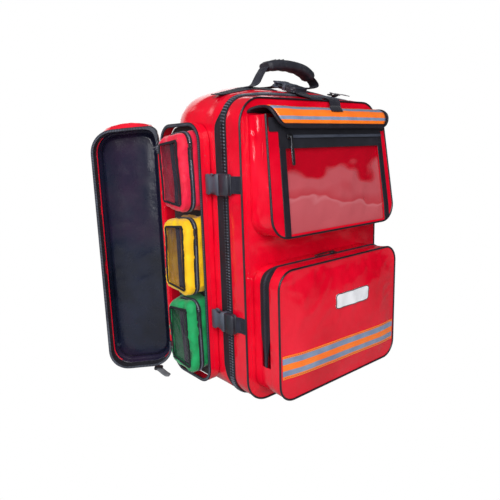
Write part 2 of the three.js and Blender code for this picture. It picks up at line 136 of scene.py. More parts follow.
# ---------------------------------------------------------------- lines and outlines
class Run:
    """A line in a plane, as (a, b, outward a, outward b) stations. It may close on itself."""

    def __init__(self, stations, closed=False):
        self.stations = stations + stations[:1] if closed else stations
        self.closed = closed
        self.marks = [0.0]
        for p, q in zip(self.stations, self.stations[1:]):
            self.marks.append(self.marks[-1] + math.hypot(q[0] - p[0], q[1] - p[1]))
        self.length = self.marks[-1]

    def at(self, s):
        s = s % self.length if self.closed else min(max(s, 0), self.length)
        i = 0
        while i < len(self.marks) - 2 and self.marks[i + 1] < s:
            i += 1
        gap = self.marks[i + 1] - self.marks[i]
        f = (s - self.marks[i]) / gap if gap > 1e-9 else 0
        p, q = self.stations[i], self.stations[i + 1]
        a, b, na, nb = (p[k] + (q[k] - p[k]) * f for k in range(4))
        long = math.hypot(na, nb) or 1
        return a, b, na / long, nb / long

    def even(self, step):
        """Stations about step apart."""
        count = max(round(self.length / step), 3)
        last = count if self.closed else count + 1
        return [self.at(self.length * i / count) for i in range(last)]


def arcs(rect, r, steps=10):
    a0, a1, b0, b1 = rect
    centres = [(a1 - r, b1 - r), (a0 + r, b1 - r), (a0 + r, b0 + r), (a1 - r, b0 + r)]
    found = []
    for k, (ca, cb) in enumerate(centres):
        turns = [math.radians(90 * (k + i / steps)) for i in range(steps + 1)]
        found.append([(ca + r * math.cos(w), cb + r * math.sin(w), math.cos(w), math.sin(w)) for w in turns])
    return found


def outline(rect, r):
    return Run(sum(arcs(rect, r), []), closed=True)


def open_run(rect, r, first, tail):
    """The outline left open between two corners, with a straight tail at each end."""
    found = arcs(rect, r)
    order = sum([found[(k + first) % 4] for k in range(4)], [])
    a, b, na, nb = order[0]
    c, d, nc, nd = order[-1]
    return Run([(a + nb * tail, b - na * tail, na, nb), *order, (c - nd * tail, d + nc * tail, nc, nd)])


def within(rect, a, b):
    """How far inside a rectangle's nearest side a point lies."""
    return min(a - rect[0], rect[1] - a, b - rect[2], rect[3] - b)


def inset(rect, by):
    return (rect[0] + by, rect[1] - by, rect[2] + by, rect[3] - by)


def curve_through(points, step):
    """Catmull-Rom curve through points of any size, with a point about every step."""
    points = [Vector(p) for p in points]
    ends = [points[0] * 2 - points[1], *points, points[-1] * 2 - points[-2]]
    line = []
    for i in range(1, len(ends) - 2):
        p0, p1, p2, p3 = ends[i - 1:i + 3]
        count = max(round((p2 - p1).length / step), 1)
        for j in range(count):
            t = j / count
            line.append(0.5 * (2 * p1 + (p2 - p0) * t + (2 * p0 - 5 * p1 + 4 * p2 - p3) * t * t
                               + (3 * p1 - p0 - 3 * p2 + p3) * t ** 3))
    line.append(points[-1])
    return line


# ---------------------------------------------------------------- meshes
def make(name, points, faces, material, core=BAG_CORE, thick=0, offset=-1, crinkle=None, sharp=40):
    """A smooth object. thick turns a sheet into a solid; crinkle(point) moves it along its normal."""
    mesh = bpy.data.meshes.new(name)
    mesh.from_pydata([p * MM for p in points], [], faces)
    bm = bmesh.new()
    bm.from_mesh(mesh)
    bmesh.ops.remove_doubles(bm, verts=bm.verts, dist=2e-5)
    bmesh.ops.recalc_face_normals(bm, faces=bm.faces)
    bm.normal_update()
    if core is not None:
        middle = Vector(core) * MM
        facing = sum(f.normal.dot(f.calc_center_median() - middle) * f.calc_area() for f in bm.faces)
        if facing < 0:
            bmesh.ops.reverse_faces(bm, faces=bm.faces)
            bm.normal_update()
    if crinkle:
        moves = [v.normal * crinkle(v.co / MM) * MM for v in bm.verts]
        for v, move in zip(bm.verts, moves):
            v.co += move
    bm.to_mesh(mesh)
    bm.free()
    obj = bpy.data.objects.new(name, mesh)
    bpy.context.scene.collection.objects.link(obj)
    for m in material if isinstance(material, (list, tuple)) else [material]:
        mesh.materials.append(m)
    if thick:
        thicken(obj, thick, offset)
    shade_smooth(obj)
    obj.data.set_sharp_from_angle(angle=math.radians(sharp))
    return obj


def shade_smooth(obj):
    obj.data.polygons.foreach_set("use_smooth", [True] * len(obj.data.polygons))


def thicken(obj, thick, offset=-1):
    """Give a sheet its thickness in millimetres."""
    wall = obj.modifiers.new("wall", "SOLIDIFY")
    wall.thickness = thick * MM
    wall.offset = offset
    bake(obj)


def bake(obj):
    """Replace an object's mesh by what its modifiers make of it."""
    bpy.context.view_layer.update()
    done = bpy.data.meshes.new_from_object(obj.evaluated_get(bpy.context.evaluated_depsgraph_get()))
    obj.modifiers.clear()
    obj.data = done


def grid(rows, closed=False):
    """Points and quads through rows of points."""
    count = len(rows[0])
    faces = []
    for i in range(len(rows) - 1):
        for j in range(count if closed else count - 1):
            k = (j + 1) % count
            faces.append((i * count + j, i * count + k, (i + 1) * count + k, (i + 1) * count + j))
    return [p for row in rows for p in row], faces


def tubed(rows, endless):
    """Closed skin through rings; open ends are filled."""
    points, faces = grid(rows + rows[:1] if endless else rows, closed=True)
    if not endless:
        count = len(rows[0])
        faces += [tuple(range(count)), tuple(range(len(points) - count, len(points)))]
    return points, faces


def placed(station, section, to, lift=Vector):
    """A section's (outward, depth) points set at a station of a run."""
    a, b, na, nb = station
    return [lift(to(a + na * u, b + nb * u, c)) for u, c in section]


def swept(run, section, to, step=6, lift=Vector):
    """Section (outward, depth) carried along an outline."""
    return tubed([placed(station, section, to, lift) for station in run.even(step)], run.closed)


def band(u0, u1, c0, c1, steps=1):
    """Section of a flat band, with extra points across its depth."""
    line = [c0 + (c1 - c0) * i / steps for i in range(steps + 1)]
    return [(u1, c) for c in line] + [(u0, c) for c in reversed(line)]


def ring(u, c, radius=CORD, sides=10):
    turns = [2 * math.pi * i / sides for i in range(sides)]
    return [(u + radius * math.cos(w), c + radius * math.sin(w)) for w in turns]


def ladder(stops, step):
    """Even values between each pair of stops."""
    found = []
    for p, q in zip(stops, stops[1:]):
        count = max(round((q - p) / step), 1)
        found += [p + (q - p) * i / count for i in range(count)]
    return found + [stops[-1]]


def panel(rect, r, step, to, depth, hole=None):
    """Quads over a rounded rectangle, with an opening if hole names one. depth is a number or depth(a, b)."""
    a0, a1, b0, b1 = rect
    reach = depth if callable(depth) else lambda a, b: depth
    across = sorted({a0, a0 + r, a1 - r, a1, *(hole[:2] if hole else ())})
    up = sorted({b0, b0 + r, b1 - r, b1, *(hole[2:] if hole else ())})
    lines_a, lines_b = ladder(across, step), ladder(up, step)
    points = []
    for b in lines_b:
        for a in lines_a:
            ca, cb = min(max(a, a0 + r), a1 - r), min(max(b, b0 + r), b1 - r)
            da, db = a - ca, b - cb
            long = math.hypot(da, db)
            keep = max(abs(da), abs(db)) / long if long > 1e-9 else 1
            p, q = ca + da * keep, cb + db * keep
            points.append(to(p, q, reach(p, q)))
    count = len(lines_a)
    faces = []
    for i in range(len(lines_b) - 1):
        for j in range(count - 1):
            ma, mb = (lines_a[j] + lines_a[j + 1]) / 2, (lines_b[i] + lines_b[i + 1]) / 2
            if hole and hole[0] < ma < hole[1] and hole[2] < mb < hole[3]:
                continue
            k = i * count + j
            faces.append((k, k + 1, k + count + 1, k + count))
    return points, faces


def lofted(rect, r, levels, to, step=8, cap=True, lift=Vector):
    """Skin between outlines at several depths; each level is (depth, inset). A cap closes the last."""
    stations = outline(rect, r).even(step)
    rows = []
    for c, by in levels:
        small = inset(rect, by)
        tight = max(r - by, 1)
        line = []
        for a, b, _, _ in stations:
            ca, cb = min(max(a, rect[0] + r), rect[1] - r), min(max(b, rect[2] + r), rect[3] - r)
            da, db = a - ca, b - cb
            long = math.hypot(da, db) or 1
            pa = min(max(ca, small[0] + tight), small[1] - tight)
            pb = min(max(cb, small[2] + tight), small[3] - tight)
            line.append(lift(to(pa + da / long * tight, pb + db / long * tight, c)))
        rows.append(line)
    points, faces = grid(rows, closed=True)
    if cap:
        count = len(rows[0])
        faces.append(tuple(range(len(points) - count, len(points))))
    return points, faces


def merge(*shapes):
    points, faces = [], []
    for more, quads in shapes:
        start = len(points)
        points += more
        faces += [tuple(start + k for k in q) for q in quads]
    return points, faces


def brick(corners):
    """Points and faces of a box from its eight corners: bottom ring, then top ring."""
    ring_faces = [(i, (i + 1) % 4, 4 + (i + 1) % 4, 4 + i) for i in range(4)]
    return corners, ring_faces + [(3, 2, 1, 0), (4, 5, 6, 7)]


def teeth(run, c0, c1, u0, u1, to, pitch, phase=0, share=0.55, lift=Vector):
    """Zip teeth along an outline, each a small block from depth c0 to c1 and from u0 to u1 proud."""
    shapes = []
    half = pitch * share / 2
    s = pitch * (0.5 + phase)
    while s < run.length - half:
        corners = []
        for u, narrow in ((u0, 0), (u1, 0.25)):
            trim = (c1 - c0) * narrow * 0.4
            for side, c in ((-1, c0 + trim), (1, c0 + trim), (1, c1 - trim), (-1, c1 - trim)):
                a, b, na, nb = run.at(s + side * half * (1 - narrow))
                corners.append(lift(to(a + na * u, b + nb * u, c)))
        shapes.append(brick(corners))
        s += pitch
    return merge(*shapes)


def eddy(p):
    """A direction that wanders with the place, the same each run (the built-in vector noise isn't)."""
    return Vector([noise.noise(p + Vector(by)) for by in ((9.3, 0, 0), (0, 17.1, 0), (0, 0, 5.7))])


def crumple(seed, broad=60, height=1.5, crease=0.8, fine=18):
    """Cloth-like unevenness in millimetres, the same each run."""
    shift = Vector((seed * 17.3, seed * 7.1, seed * 11.9))

    def at(p):
        bend = Vector(p) / broad + shift
        bend += eddy(bend * 0.7) * 0.45
        soft = noise.noise(bend)
        ridge = (1 - abs(noise.noise(bend * 1.7 + shift))) ** 5
        small = noise.noise(Vector(p) / fine + shift)
        return height * soft + crease * (ridge - 0.3) + crease * 0.35 * small

    return at


def ribbon(line, thick, w0, w1, to, across=4, round_ends=0):
    """Flat strap along (p, q) points, with softly rounded edges."""
    rows = []
    for i, here in enumerate(line):
        before, after = line[max(i - 1, 0)], line[min(i + 1, len(line) - 1)]
        run = (after - before).normalized()
        side = Vector((-run.y, run.x)) * thick / 2
        pull = 0
        if round_ends:
            near = min((here - line[0]).length, (here - line[-1]).length)
            pull = round_ends - math.sqrt(max(round_ends ** 2 - max(round_ends - near, 0) ** 2, 0))
        low, high = w0 + pull, w1 - pull
        ws = [low + (high - low) * j / across for j in range(across + 1)]
        top = [to(*(here + side * (0.55 if j in (0, across) else 1)), w) for j, w in enumerate(ws)]
        under = [to(*(here - side * (0.55 if j in (0, across) else 1)), w) for j, w in enumerate(ws)]
        rows.append(top + under[::-1])
    return tubed(rows, False)


def shift_line(line, far):
    """The same (p, q) line moved sideways."""
    moved = []
    for i, here in enumerate(line):
        run = (line[min(i + 1, len(line) - 1)] - line[max(i - 1, 0)]).normalized()
        moved.append(here + Vector((run.y, -run.x)) * far)
    return moved


def surface_of(obj):
    bm = bmesh.new()
    bm.from_mesh(obj.data)
    tree = BVHTree.FromBMesh(bm)
    bm.free()
    return tree


def stitches(obj, line, pitch=4.2, long=2.7, wide=0.8, away=None):
    """Thread lying on obj along a line of points; away picks the side of the sheet."""
    tree = surface_of(obj)
    shapes = []
    carried = 0
    for p, q in zip(line, line[1:]):
        run = q - p
        far = run.length
        while carried < far:
            spot, normal, _, _ = tree.find_nearest((p + run * carried / far) * MM)
            if away is not None and normal.dot(away) < 0:
                normal = -normal
            along = run.normalized()
            side = normal.cross(along).normalized() * wide / 2
            along = along * long / 2
            up = normal * 0.5
            foot = spot / MM - normal * 0.35
            around_it = ((-1, -1), (-1, 1), (1, 1), (1, -1))
            flat = [foot + along * i + side * j for i, j in around_it]
            tip = [foot + up * 1.7 + along * (0.7 * i) + side * (0.5 * j) for i, j in around_it]
            shapes.append(brick(flat + tip))
            carried += pitch
        carried -= far
    return merge(*shapes)


def done(obj, body, slot_name, *nodes):
    """The piece moves with a body and stands for CAD nodes, which it hides; the slot name is not used."""
    if body:
        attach(obj, body)
    if nodes:
        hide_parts(*nodes)
    return obj


def built(name, shape, look, body, slot_name, *nodes, **how):
    """Make a piece and hand it over."""
    return done(make(name, *shape, look, **how), body, slot_name, *nodes)


def sewn(name, base, line, thread, body, slot_name, **how):
    """A row of stitches on a piece."""
    return built(name, stitches(base, line, **how), thread, body, slot_name, core=None)


def striped(name, parts, colours, looks, core, thick, **how):
    """One sheet of several bands, each with its own look."""
    obj = make(name, *merge(*parts), looks, core, **how)
    paint = [looks.index(m) for (_, quads), m in zip(parts, colours) for _ in quads]
    obj.data.polygons.foreach_set("material_index", paint)
    thicken(obj, thick)
    return obj


# ---------------------------------------------------------------- materials
class Look:
    """A principled material whose colour, roughness and relief come from procedural textures."""

    def __init__(self, name, rough=0.5, **sockets):
        self.material = bpy.data.materials.new(name)
        self.material.use_nodes = True
        self.tree = self.material.node_tree
        self.shader = self.tree.nodes["Principled BSDF"]
        self.shader.inputs["Roughness"].default_value = rough
        for key, value in sockets.items():
            self.shader.inputs[key.replace("_", " ")].default_value = value
        self.where = self.tree.nodes.new("ShaderNodeTexCoord").outputs["Object"]
        self.relief = None

    def add(self, kind, **values):
        node = self.tree.nodes.new("ShaderNode" + kind)
        for key, value in values.items():
            if hasattr(node, key):
                setattr(node, key, value)
            else:
                node.inputs[key.replace("_", " ")].default_value = value
        return node

    def link(self, output, socket):
        self.tree.links.new(output, socket)

    def stretched(self, scale):
        node = self.add("Mapping")
        node.inputs["Scale"].default_value = scale
        self.link(self.where, node.inputs["Vector"])
        return node.outputs["Vector"]

    def noise(self, scale, detail=4, rough=0.55, stretch=(1, 1, 1)):
        node = self.add("TexNoise", Scale=scale, Detail=detail, Roughness=rough)
        self.link(self.stretched(stretch), node.inputs["Vector"])
        return node.outputs["Fac"]

    def wave(self, scale, direction):
        node = self.add("TexWave", Scale=scale, bands_direction=direction)
        self.link(self.where, node.inputs["Vector"])
        return node.outputs["Fac"]

    def product(self, one, two):
        node = self.add("Math", operation="MULTIPLY")
        self.link(one, node.inputs[0])
        self.link(two, node.inputs[1])
        return node.outputs[0]

    def ramp(self, source, *stops):
        node = self.add("ValToRGB")
        elements = node.color_ramp.elements
        while len(elements) < len(stops):
            elements.new(0.5)
        for element, (place, colour) in zip(elements, stops):
            element.position = place
            element.color = (*colour, 1)
        self.link(source, node.inputs["Fac"])
        return node.outputs["Color"]

    def colour(self, source, *stops):
        self.link(self.ramp(source, *stops), self.shader.inputs["Base Color"])
        return self

    def roughness(self, source, low, high):
        node = self.add("MapRange", From_Min=0.3, From_Max=0.7, To_Min=low, To_Max=high)
        self.link(source, node.inputs["Value"])
        self.link(node.outputs["Result"], self.shader.inputs["Roughness"])
        return self

    def bump(self, source, strength, distance):
        node = self.add("Bump", Strength=strength, Distance=distance)
        self.link(source, node.inputs["Height"])
        if self.relief:
            self.link(self.relief, node.inputs["Normal"])
        self.relief = node.outputs["Normal"]
        self.link(self.relief, self.shader.inputs["Normal"])
        return self


def vinyl(name, dark, mid, light, rough=(0.08, 0.2), coat=0.15):
    """Coated tarpaulin: glossy, with soft creases and a faint scrim beneath the skin."""
    look = Look(name, Coat_Weight=coat, Coat_Roughness=0.04, Specular_IOR_Level=0.42)
    look.colour(look.noise(9, 5), (0.25, dark), (0.5, mid), (0.8, light))
    look.roughness(look.noise(14, 4), *rough)
    look.bump(look.noise(22, 6, 0.6), 0.45, 0.003)
    look.bump(look.noise(95, 3, 0.6), 0.24, 0.0008)
    weave = look.product(look.wave(300, "X"), look.wave(300, "Z"))
    look.bump(weave, 0.04, 0.0002)
    return look.material


def cloth(name, dark, light, pitch=420, rough=(0.55, 0.8), sheen=0.2, relief=0.35):
    """Woven cloth or webbing: a fine weave, worn lighter in patches."""
    look = Look(name, Sheen_Weight=sheen, Sheen_Roughness=0.4, Specular_IOR_Level=0.35)
    look.colour(look.noise(40, 6), (0.3, dark), (0.75, light))
    look.roughness(look.noise(30, 3), *rough)
    weave = look.product(look.wave(pitch, "X"), look.wave(pitch, "Z"))
    cross = look.wave(pitch, "DIAGONAL")
    look.bump(weave, relief, 0.0006)
    look.bump(cross, relief * 0.6, 0.0004)
    look.bump(look.noise(28, 4), 0.2, 0.001)
    return look.material


def plastic(name, dark, light, rough=(0.3, 0.45), grain=0.12, metal=0.0):
    look = Look(name, Metallic=metal, Specular_IOR_Level=0.5)
    look.colour(look.noise(25, 4), (0.3, dark), (0.7, light))
    look.roughness(look.noise(60, 4), *rough)
    look.bump(look.noise(900, 2), grain, 0.0002)
    return look.material


def clear(name, tint, veil, thin):
    """Clear sheet: a glossy skin over a faint veil, with soft waves."""
    look = Look(name, rough=0.06, IOR=1.6, Coat_Weight=1.0, Coat_Roughness=0.04, Alpha=thin)
    look.colour(look.noise(12, 3), (0.3, tint), (0.75, veil))
    look.bump(look.noise(11, 4, 0.55, (1, 1, 0.5)), 0.5, 0.004)
    look.bump(look.noise(45, 3), 0.2, 0.0008)
    return look.material


def clear_with_painted_reflection(name, foot, head, thin):
    """Clear sheet over a red insert, with a painted reflection: pinker towards its foot, with wavy painted
    highlight streaks across it.
    """
    look = Look(name, rough=0.06, IOR=1.7, Coat_Weight=1.0, Coat_Roughness=0.04, Alpha=thin)
    place = look.add("SeparateXYZ")
    look.link(look.where, place.inputs[0])
    sway = look.add("Math", operation="MULTIPLY_ADD")
    look.link(look.noise(9, 2, 0.45, (0.9, 1, 1.5)), sway.inputs[0])
    sway.inputs[1].default_value = 0.14
    look.link(place.outputs["Z"], sway.inputs[2])
    level = look.add("MapRange", From_Min=foot + 0.07, From_Max=head + 0.07)
    look.link(sway.outputs[0], level.inputs["Value"])
    # Painted reflection: pink, a pale painted highlight and a darker painted shade band low down, clear deep
    # red higher up.
    deep, pink, painted_highlight = (0.62, 0.002, 0.018), (0.68, 0.125, 0.15), (0.76, 0.21, 0.24)
    painted_streak, shade = (0.7, 0.145, 0.17), (0.64, 0.07, 0.09)
    look.colour(level.outputs[0], (0.0, pink), (0.3, painted_streak), (0.34, painted_highlight), (0.36, shade),
                (0.52, pink), (0.67, pink), (0.74, deep), (1.0, deep))
    look.bump(look.noise(11, 4, 0.55, (1, 1, 0.5)), 0.4, 0.003)
    return look.material


def reflective(name, dark, light):
    """Retroreflective tape: tiny sealed cells on a coloured film."""
    look = Look(name, rough=0.32, Specular_IOR_Level=0.5, Coat_Weight=0.3, Coat_Roughness=0.15)
    look.colour(look.noise(30, 4), (0.3, dark), (0.7, light))
    cells = look.add("TexVoronoi", Scale=520.0)
    look.link(look.where, cells.inputs["Vector"])
    look.bump(cells.outputs["Distance"], 0.15, 0.0003)
    look.bump(look.noise(35, 4), 0.15, 0.001)
    return look.material


RED = vinyl("red_vinyl", (0.56, 0.0, 0.012), (0.72, 0.002, 0.02), (0.8, 0.012, 0.035))
WEBBING = cloth("black_webbing", (0.005, 0.005, 0.012), (0.016, 0.017, 0.032), 380, sheen=0.08)
TAPE_CLOTH = cloth("zip_tape", (0.004, 0.004, 0.008), (0.011, 0.011, 0.02), 520, (0.5, 0.75), 0.04)
PADDING = cloth("black_padding", (0.010, 0.010, 0.013), (0.028, 0.028, 0.034), 300, (0.6, 0.85), 0.3, 0.5)
PIPING = plastic("black_piping", (0.005, 0.005, 0.009), (0.014, 0.014, 0.022), (0.28, 0.45))
BUCKLES = plastic("buckle_plastic", (0.045, 0.052, 0.075), (0.075, 0.085, 0.115), (0.34, 0.5), 0.25)
CATCHES = plastic("buckle_dark_plastic", (0.012, 0.013, 0.02), (0.028, 0.03, 0.044), (0.34, 0.5), 0.25)
TEETH = plastic("zip_teeth", (0.05, 0.056, 0.075), (0.13, 0.145, 0.185), (0.16, 0.28))
METAL = plastic("slider_metal", (0.05, 0.052, 0.06), (0.1, 0.1, 0.115), (0.25, 0.4), 0.05, 0.85)
PULL = plastic("pull_rubber", (0.1, 0.105, 0.12), (0.19, 0.2, 0.215), (0.5, 0.65), 0.3)
GRIP = plastic("grip_rubber", (0.012, 0.013, 0.02), (0.03, 0.031, 0.043), (0.45, 0.6), 0.35)
LINING = cloth("flap_lining", (0.004, 0.003, 0.008), (0.011, 0.009, 0.018), 460, (0.35, 0.55), 0.04)
ORANGE = reflective("orange_tape", (0.95, 0.16, 0.008), (1.0, 0.23, 0.018))
SILVER = reflective("silver_tape", (0.16, 0.21, 0.34), (0.26, 0.33, 0.47))
BLANK = plastic("blank_label", (0.72, 0.73, 0.77), (0.86, 0.87, 0.9), (0.35, 0.5), 0.05)
# The window's colour holds a painted reflection, pinker and paler towards its foot.
CLEAR = clear_with_painted_reflection("clear_vinyl", 0.318, 0.472, 0.66)
CLEAR_POUCH = clear("pouch_window_film", (0.03, 0.02, 0.04), (0.12, 0.1, 0.14), 0.2)
# The door lining is blue-black of its own; the lighter violet patches in its colour are painted sheen.
DOOR_LINING = vinyl("door_padding", (0.002, 0.003, 0.006), (0.007, 0.01, 0.026), (0.024, 0.01, 0.032),
                    (0.18, 0.36), 0.15)
THREAD = cloth("red_thread", (0.38, 0.0, 0.015), (0.55, 0.01, 0.03), 900, (0.6, 0.7), 0.1)
DARK_THREAD = cloth("dark_thread", (0.03, 0.03, 0.04), (0.07, 0.07, 0.08), 900, (0.6, 0.7), 0.1)
POUCH_COLOURS = {
    colour: cloth(f"pouch_{colour}", dark, light, 520, (0.5, 0.7), 0.35, 0.2)
    for colour, dark, light in (("red", (0.62, 0.0, 0.022), (0.85, 0.008, 0.06)),
                                ("yellow", (0.74, 0.42, 0.0), (0.95, 0.58, 0.004)),
                                ("green", (0.0, 0.2, 0.055), (0.004, 0.36, 0.11)))
}
SLOT_LOOKS = {
    "red_vinyl": RED, "black_webbing": WEBBING, "black_padding": PADDING, "zip_tape": TAPE_CLOTH,
    "black_piping": PIPING, "buckle_plastic": BUCKLES, "slider_metal": METAL, "pull_rubber": PULL,
    "grip_rubber": GRIP, "flap_lining": LINING, "reflective_tape": ORANGE, "blank_label": BLANK,
    "clear_vinyl": CLEAR, "door_padding": DOOR_LINING,
    **{f"pouch_{colour}": look for colour, look in POUCH_COLOURS.items()},
}
for part in frame["record"]["subparts"]:
    held = frame["nodes"][part["node"]].data.materials
    held.clear()
    held.append(SLOT_LOOKS[part["material_slot"]])


# ---------------------------------------------------------------- camera, light and floor
def camera():
    heading, down, roll = (math.radians(v) for v in (CAMERA_HEADING, CAMERA_DOWN, CAMERA_ROLL))
    ahead = Vector((math.sin(heading) * math.cos(down), math.cos(heading) * math.cos(down), -math.sin(down)))
    right = Vector((math.cos(heading), -math.sin(heading), 0))
    up = right.cross(ahead)
    right, up = right * math.cos(roll) + up * math.sin(roll), up * math.cos(roll) - right * math.sin(roll)
    obj = bpy.data.objects.new("camera", bpy.data.cameras.new("camera"))
    obj.data.lens = CAMERA_LENS
    obj.data.sensor_width = 36
    obj.data.clip_start = 0.05
    turn = Matrix((right, up, -ahead)).transposed().to_4x4()
    obj.matrix_world = Matrix.Translation(CAMERA_PLACE * MM) @ turn
    bpy.context.scene.collection.objects.link(obj)
    bpy.context.scene.camera = obj


# name, place, height aimed at, size and power
SOFTBOXES = (
    ("key", (-1.6, -1.5, 2.0), 0.25, (1.5, 1.5), 60),
    ("front", (-0.55, -2.5, 0.9), 0.3, (0.9, 1.4), 17),
    ("side", (-2.1, 0.2, 0.9), 0.3, (0.3, 1.4), 13),
    ("spark", (-1.6, -2.0, 0.8), 0.3, (0.06, 0.9), 13),
    ("rear", (0.4, 2.1, 1.25), 0.45, (3.0, 1.3), 16),
)
ROOM_GLOW = 0.13
FLOOR_REACH = 6000
FLOOR_DROP = 140
CARD = 1500


def softbox(name, place, aim, size, power):
    light = bpy.data.lights.new(name, "AREA")
    light.shape = "RECTANGLE"
    light.size, light.size_y = size
    light.energy = power
    obj = bpy.data.objects.new(name, light)
    obj.location = place
    obj.rotation_euler = (Vector((0, 0, aim)) - Vector(place)).to_track_quat("-Z", "Y").to_euler()
    bpy.context.scene.collection.objects.link(obj)


def studio():
    scene = bpy.context.scene
    scene.view_settings.view_transform = "Standard"
    world = bpy.data.worlds.new("studio")
    scene.world = world
    world.use_nodes = True
    tree = world.node_tree
    backdrop = tree.nodes["Background"]
    backdrop.inputs["Color"].default_value = (1, 1, 1, 1)
    backdrop.inputs["Strength"].default_value = 1.0
    room = tree.nodes.new("ShaderNodeBackground")
    room.inputs["Color"].default_value = (0.96, 0.98, 1, 1)
    room.inputs["Strength"].default_value = ROOM_GLOW
    seen = tree.nodes.new("ShaderNodeLightPath")
    either = tree.nodes.new("ShaderNodeMixShader")
    tree.links.new(seen.outputs["Is Camera Ray"], either.inputs["Fac"])
    tree.links.new(room.outputs["Background"], either.inputs[1])
    tree.links.new(backdrop.outputs["Background"], either.inputs[2])
    tree.links.new(either.outputs["Shader"], tree.nodes["World Output"].inputs["Surface"])
    for box in SOFTBOXES:
        softbox(*box)
    look = Look("floor", rough=0.7, Specular_IOR_Level=0.1)
    look.colour(look.noise(3, 2), (0.3, (0.42, 0.42, 0.425)), (0.7, (0.45, 0.45, 0.45)))
    corners = [Vector((x, y, 0)) * FLOOR_REACH - Vector((0, 0, FLOOR_DROP))
               for x, y in ((-1, -1), (1, -1), (1, 1), (-1, 1))]
    floor = make("floor", corners, [(0, 1, 2, 3)], look.material, core=(0, 0, -100))
    card_look = Look("black_card", rough=0.9)
    card_look.colour(card_look.noise(3, 2), (0.3, (0.01, 0.01, 0.01)), (0.7, (0.015, 0.015, 0.015)))
    middle, across = Vector((1150, -1750, 0)), Vector((0.77, 0.636, 0)) * CARD
    rise_by = Vector((0, 0, CARD))
    corners = [middle - across, middle + across, middle + across + rise_by, middle - across + rise_by]
    card = make("card", corners, [(0, 1, 2, 3)], card_look.material, core=None)
    card.visible_camera = False
    floor.visible_camera = False


camera()
studio()


# ---------------------------------------------------------------- main bag
SHELL_RECT = (-HALF, HALF, 0, TALL)
LID_RECT = (-HALF, HALF, FOOT, TALL)
ZIP_RUN = open_run(SHELL_RECT, CORNER, 3, 25)
LID_ZIP_RUN = open_run(SHELL_RECT, CORNER, 3, 6)
ZIP_FRONT_Y = low_high("main_zip_front")[0].y
ZIP_REAR_Y = low_high("main_zip_rear")[1].y


def main_shell():
    lip = [(ZIP_MID + 1, 1.6), (ZIP_MID + 9, 1.2), (ZIP_BACK - 3, 1.0)]
    wall = lip + [(ZIP_BACK + (98 - ZIP_BACK) * i / 18, 0) for i in range(19)]
    back = [(105, 1), (111, 3), (117, 8), (BACK_Y, 16), (BACK_Y, 44), (BACK_Y, 90), (BACK_Y, 150)]
    shape = lofted(SHELL_RECT, CORNER, wall + back, FRONT, step=9, lift=crown)
    uneven = crumple(3, 70, 1.5, 1.3)
    fade = lambda p: smooth((p.y - ZIP_BACK - 4) / 25) * smooth((BACK_Y - p.y) / 12) * smooth(p.z / 30)
    piece = built("shell_cloth", shape, RED, "shell", "red_vinyl", "main_shell", thick=3.6,
                  crinkle=lambda p: (uneven(p) - 1.0) * fade(p))
    for name, y in (("shell_seam_front", ZIP_BACK + 11), ("shell_seam_rear", 88)):
        line = [crown(FRONT(a, b, y)) for a, b, _, _ in outline(SHELL_RECT, CORNER).even(12)]
        keep = [p for p in line if p.z > 20]
        sewn(name, piece, keep + keep[:1], THREAD, "shell", "red_vinyl", away=None)


def grounded(p):
    """The zip's ends don't sink below what the bag stands on."""
    return crown(Vector((p.x, p.y, max(p.z, 0.3))))


def main_zip():
    rows, hem = [], []
    for station in ZIP_RUN.even(5):
        up = station[1]
        wide = 7 + (ZIP_REAR_Y - ZIP_MID - 2) * smooth((up - 8) / 60) * smooth((TALL - 22 - up) / 36)
        rows.append(placed(station, band(-1.2, 0.5, ZIP_MID + 0.3, ZIP_MID + wide, 4), FRONT, grounded))
        hem.append(placed(station, ring(0.5, ZIP_MID + wide - 1, 0.9, 6), FRONT, grounded))
    tape = merge(tubed(rows, False), tubed(hem, False))
    built("main_zip_tape_rear", tape, TAPE_CLOTH, "shell", "zip_tape", "main_zip_rear")
    tape = swept(ZIP_RUN, band(-1.2, 0.4, ZIP_FRONT_Y + 2.5, ZIP_MID - 0.3, 2), FRONT, lift=grounded)
    built("main_zip_tape_front", tape, TAPE_CLOTH, "front_lid", "zip_tape", "main_zip_front")
    pitch = 5.4
    rear = teeth(ZIP_RUN, ZIP_MID - 3.4, ZIP_MID + 5, -0.4, 2.3, FRONT, pitch, 0.5, 0.44, grounded)
    front = teeth(LID_ZIP_RUN, ZIP_MID - 5, ZIP_MID + 3.4, -0.4, 2.3, FRONT, pitch, 0, 0.44, grounded)
    built("main_zip_teeth_rear", rear, TEETH, "shell", "zip_tape", core=None)
    built("main_zip_teeth_front", front, TEETH, "front_lid", "zip_tape", core=None)
    low, high = low_high("hinge_strip")
    rows = [[Vector((low.x + (high.x - low.x) * i / 30, low.y + (high.y - low.y) * j / 16, 1.5))
             for i in range(31)] for j in range(17)]
    strip = make("hinge_cloth", *grid(rows), RED, core=(0, low.y, 200), thick=2.2, offset=0)
    done(strip, None, "red_vinyl", "hinge_strip")
    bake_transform(strip)


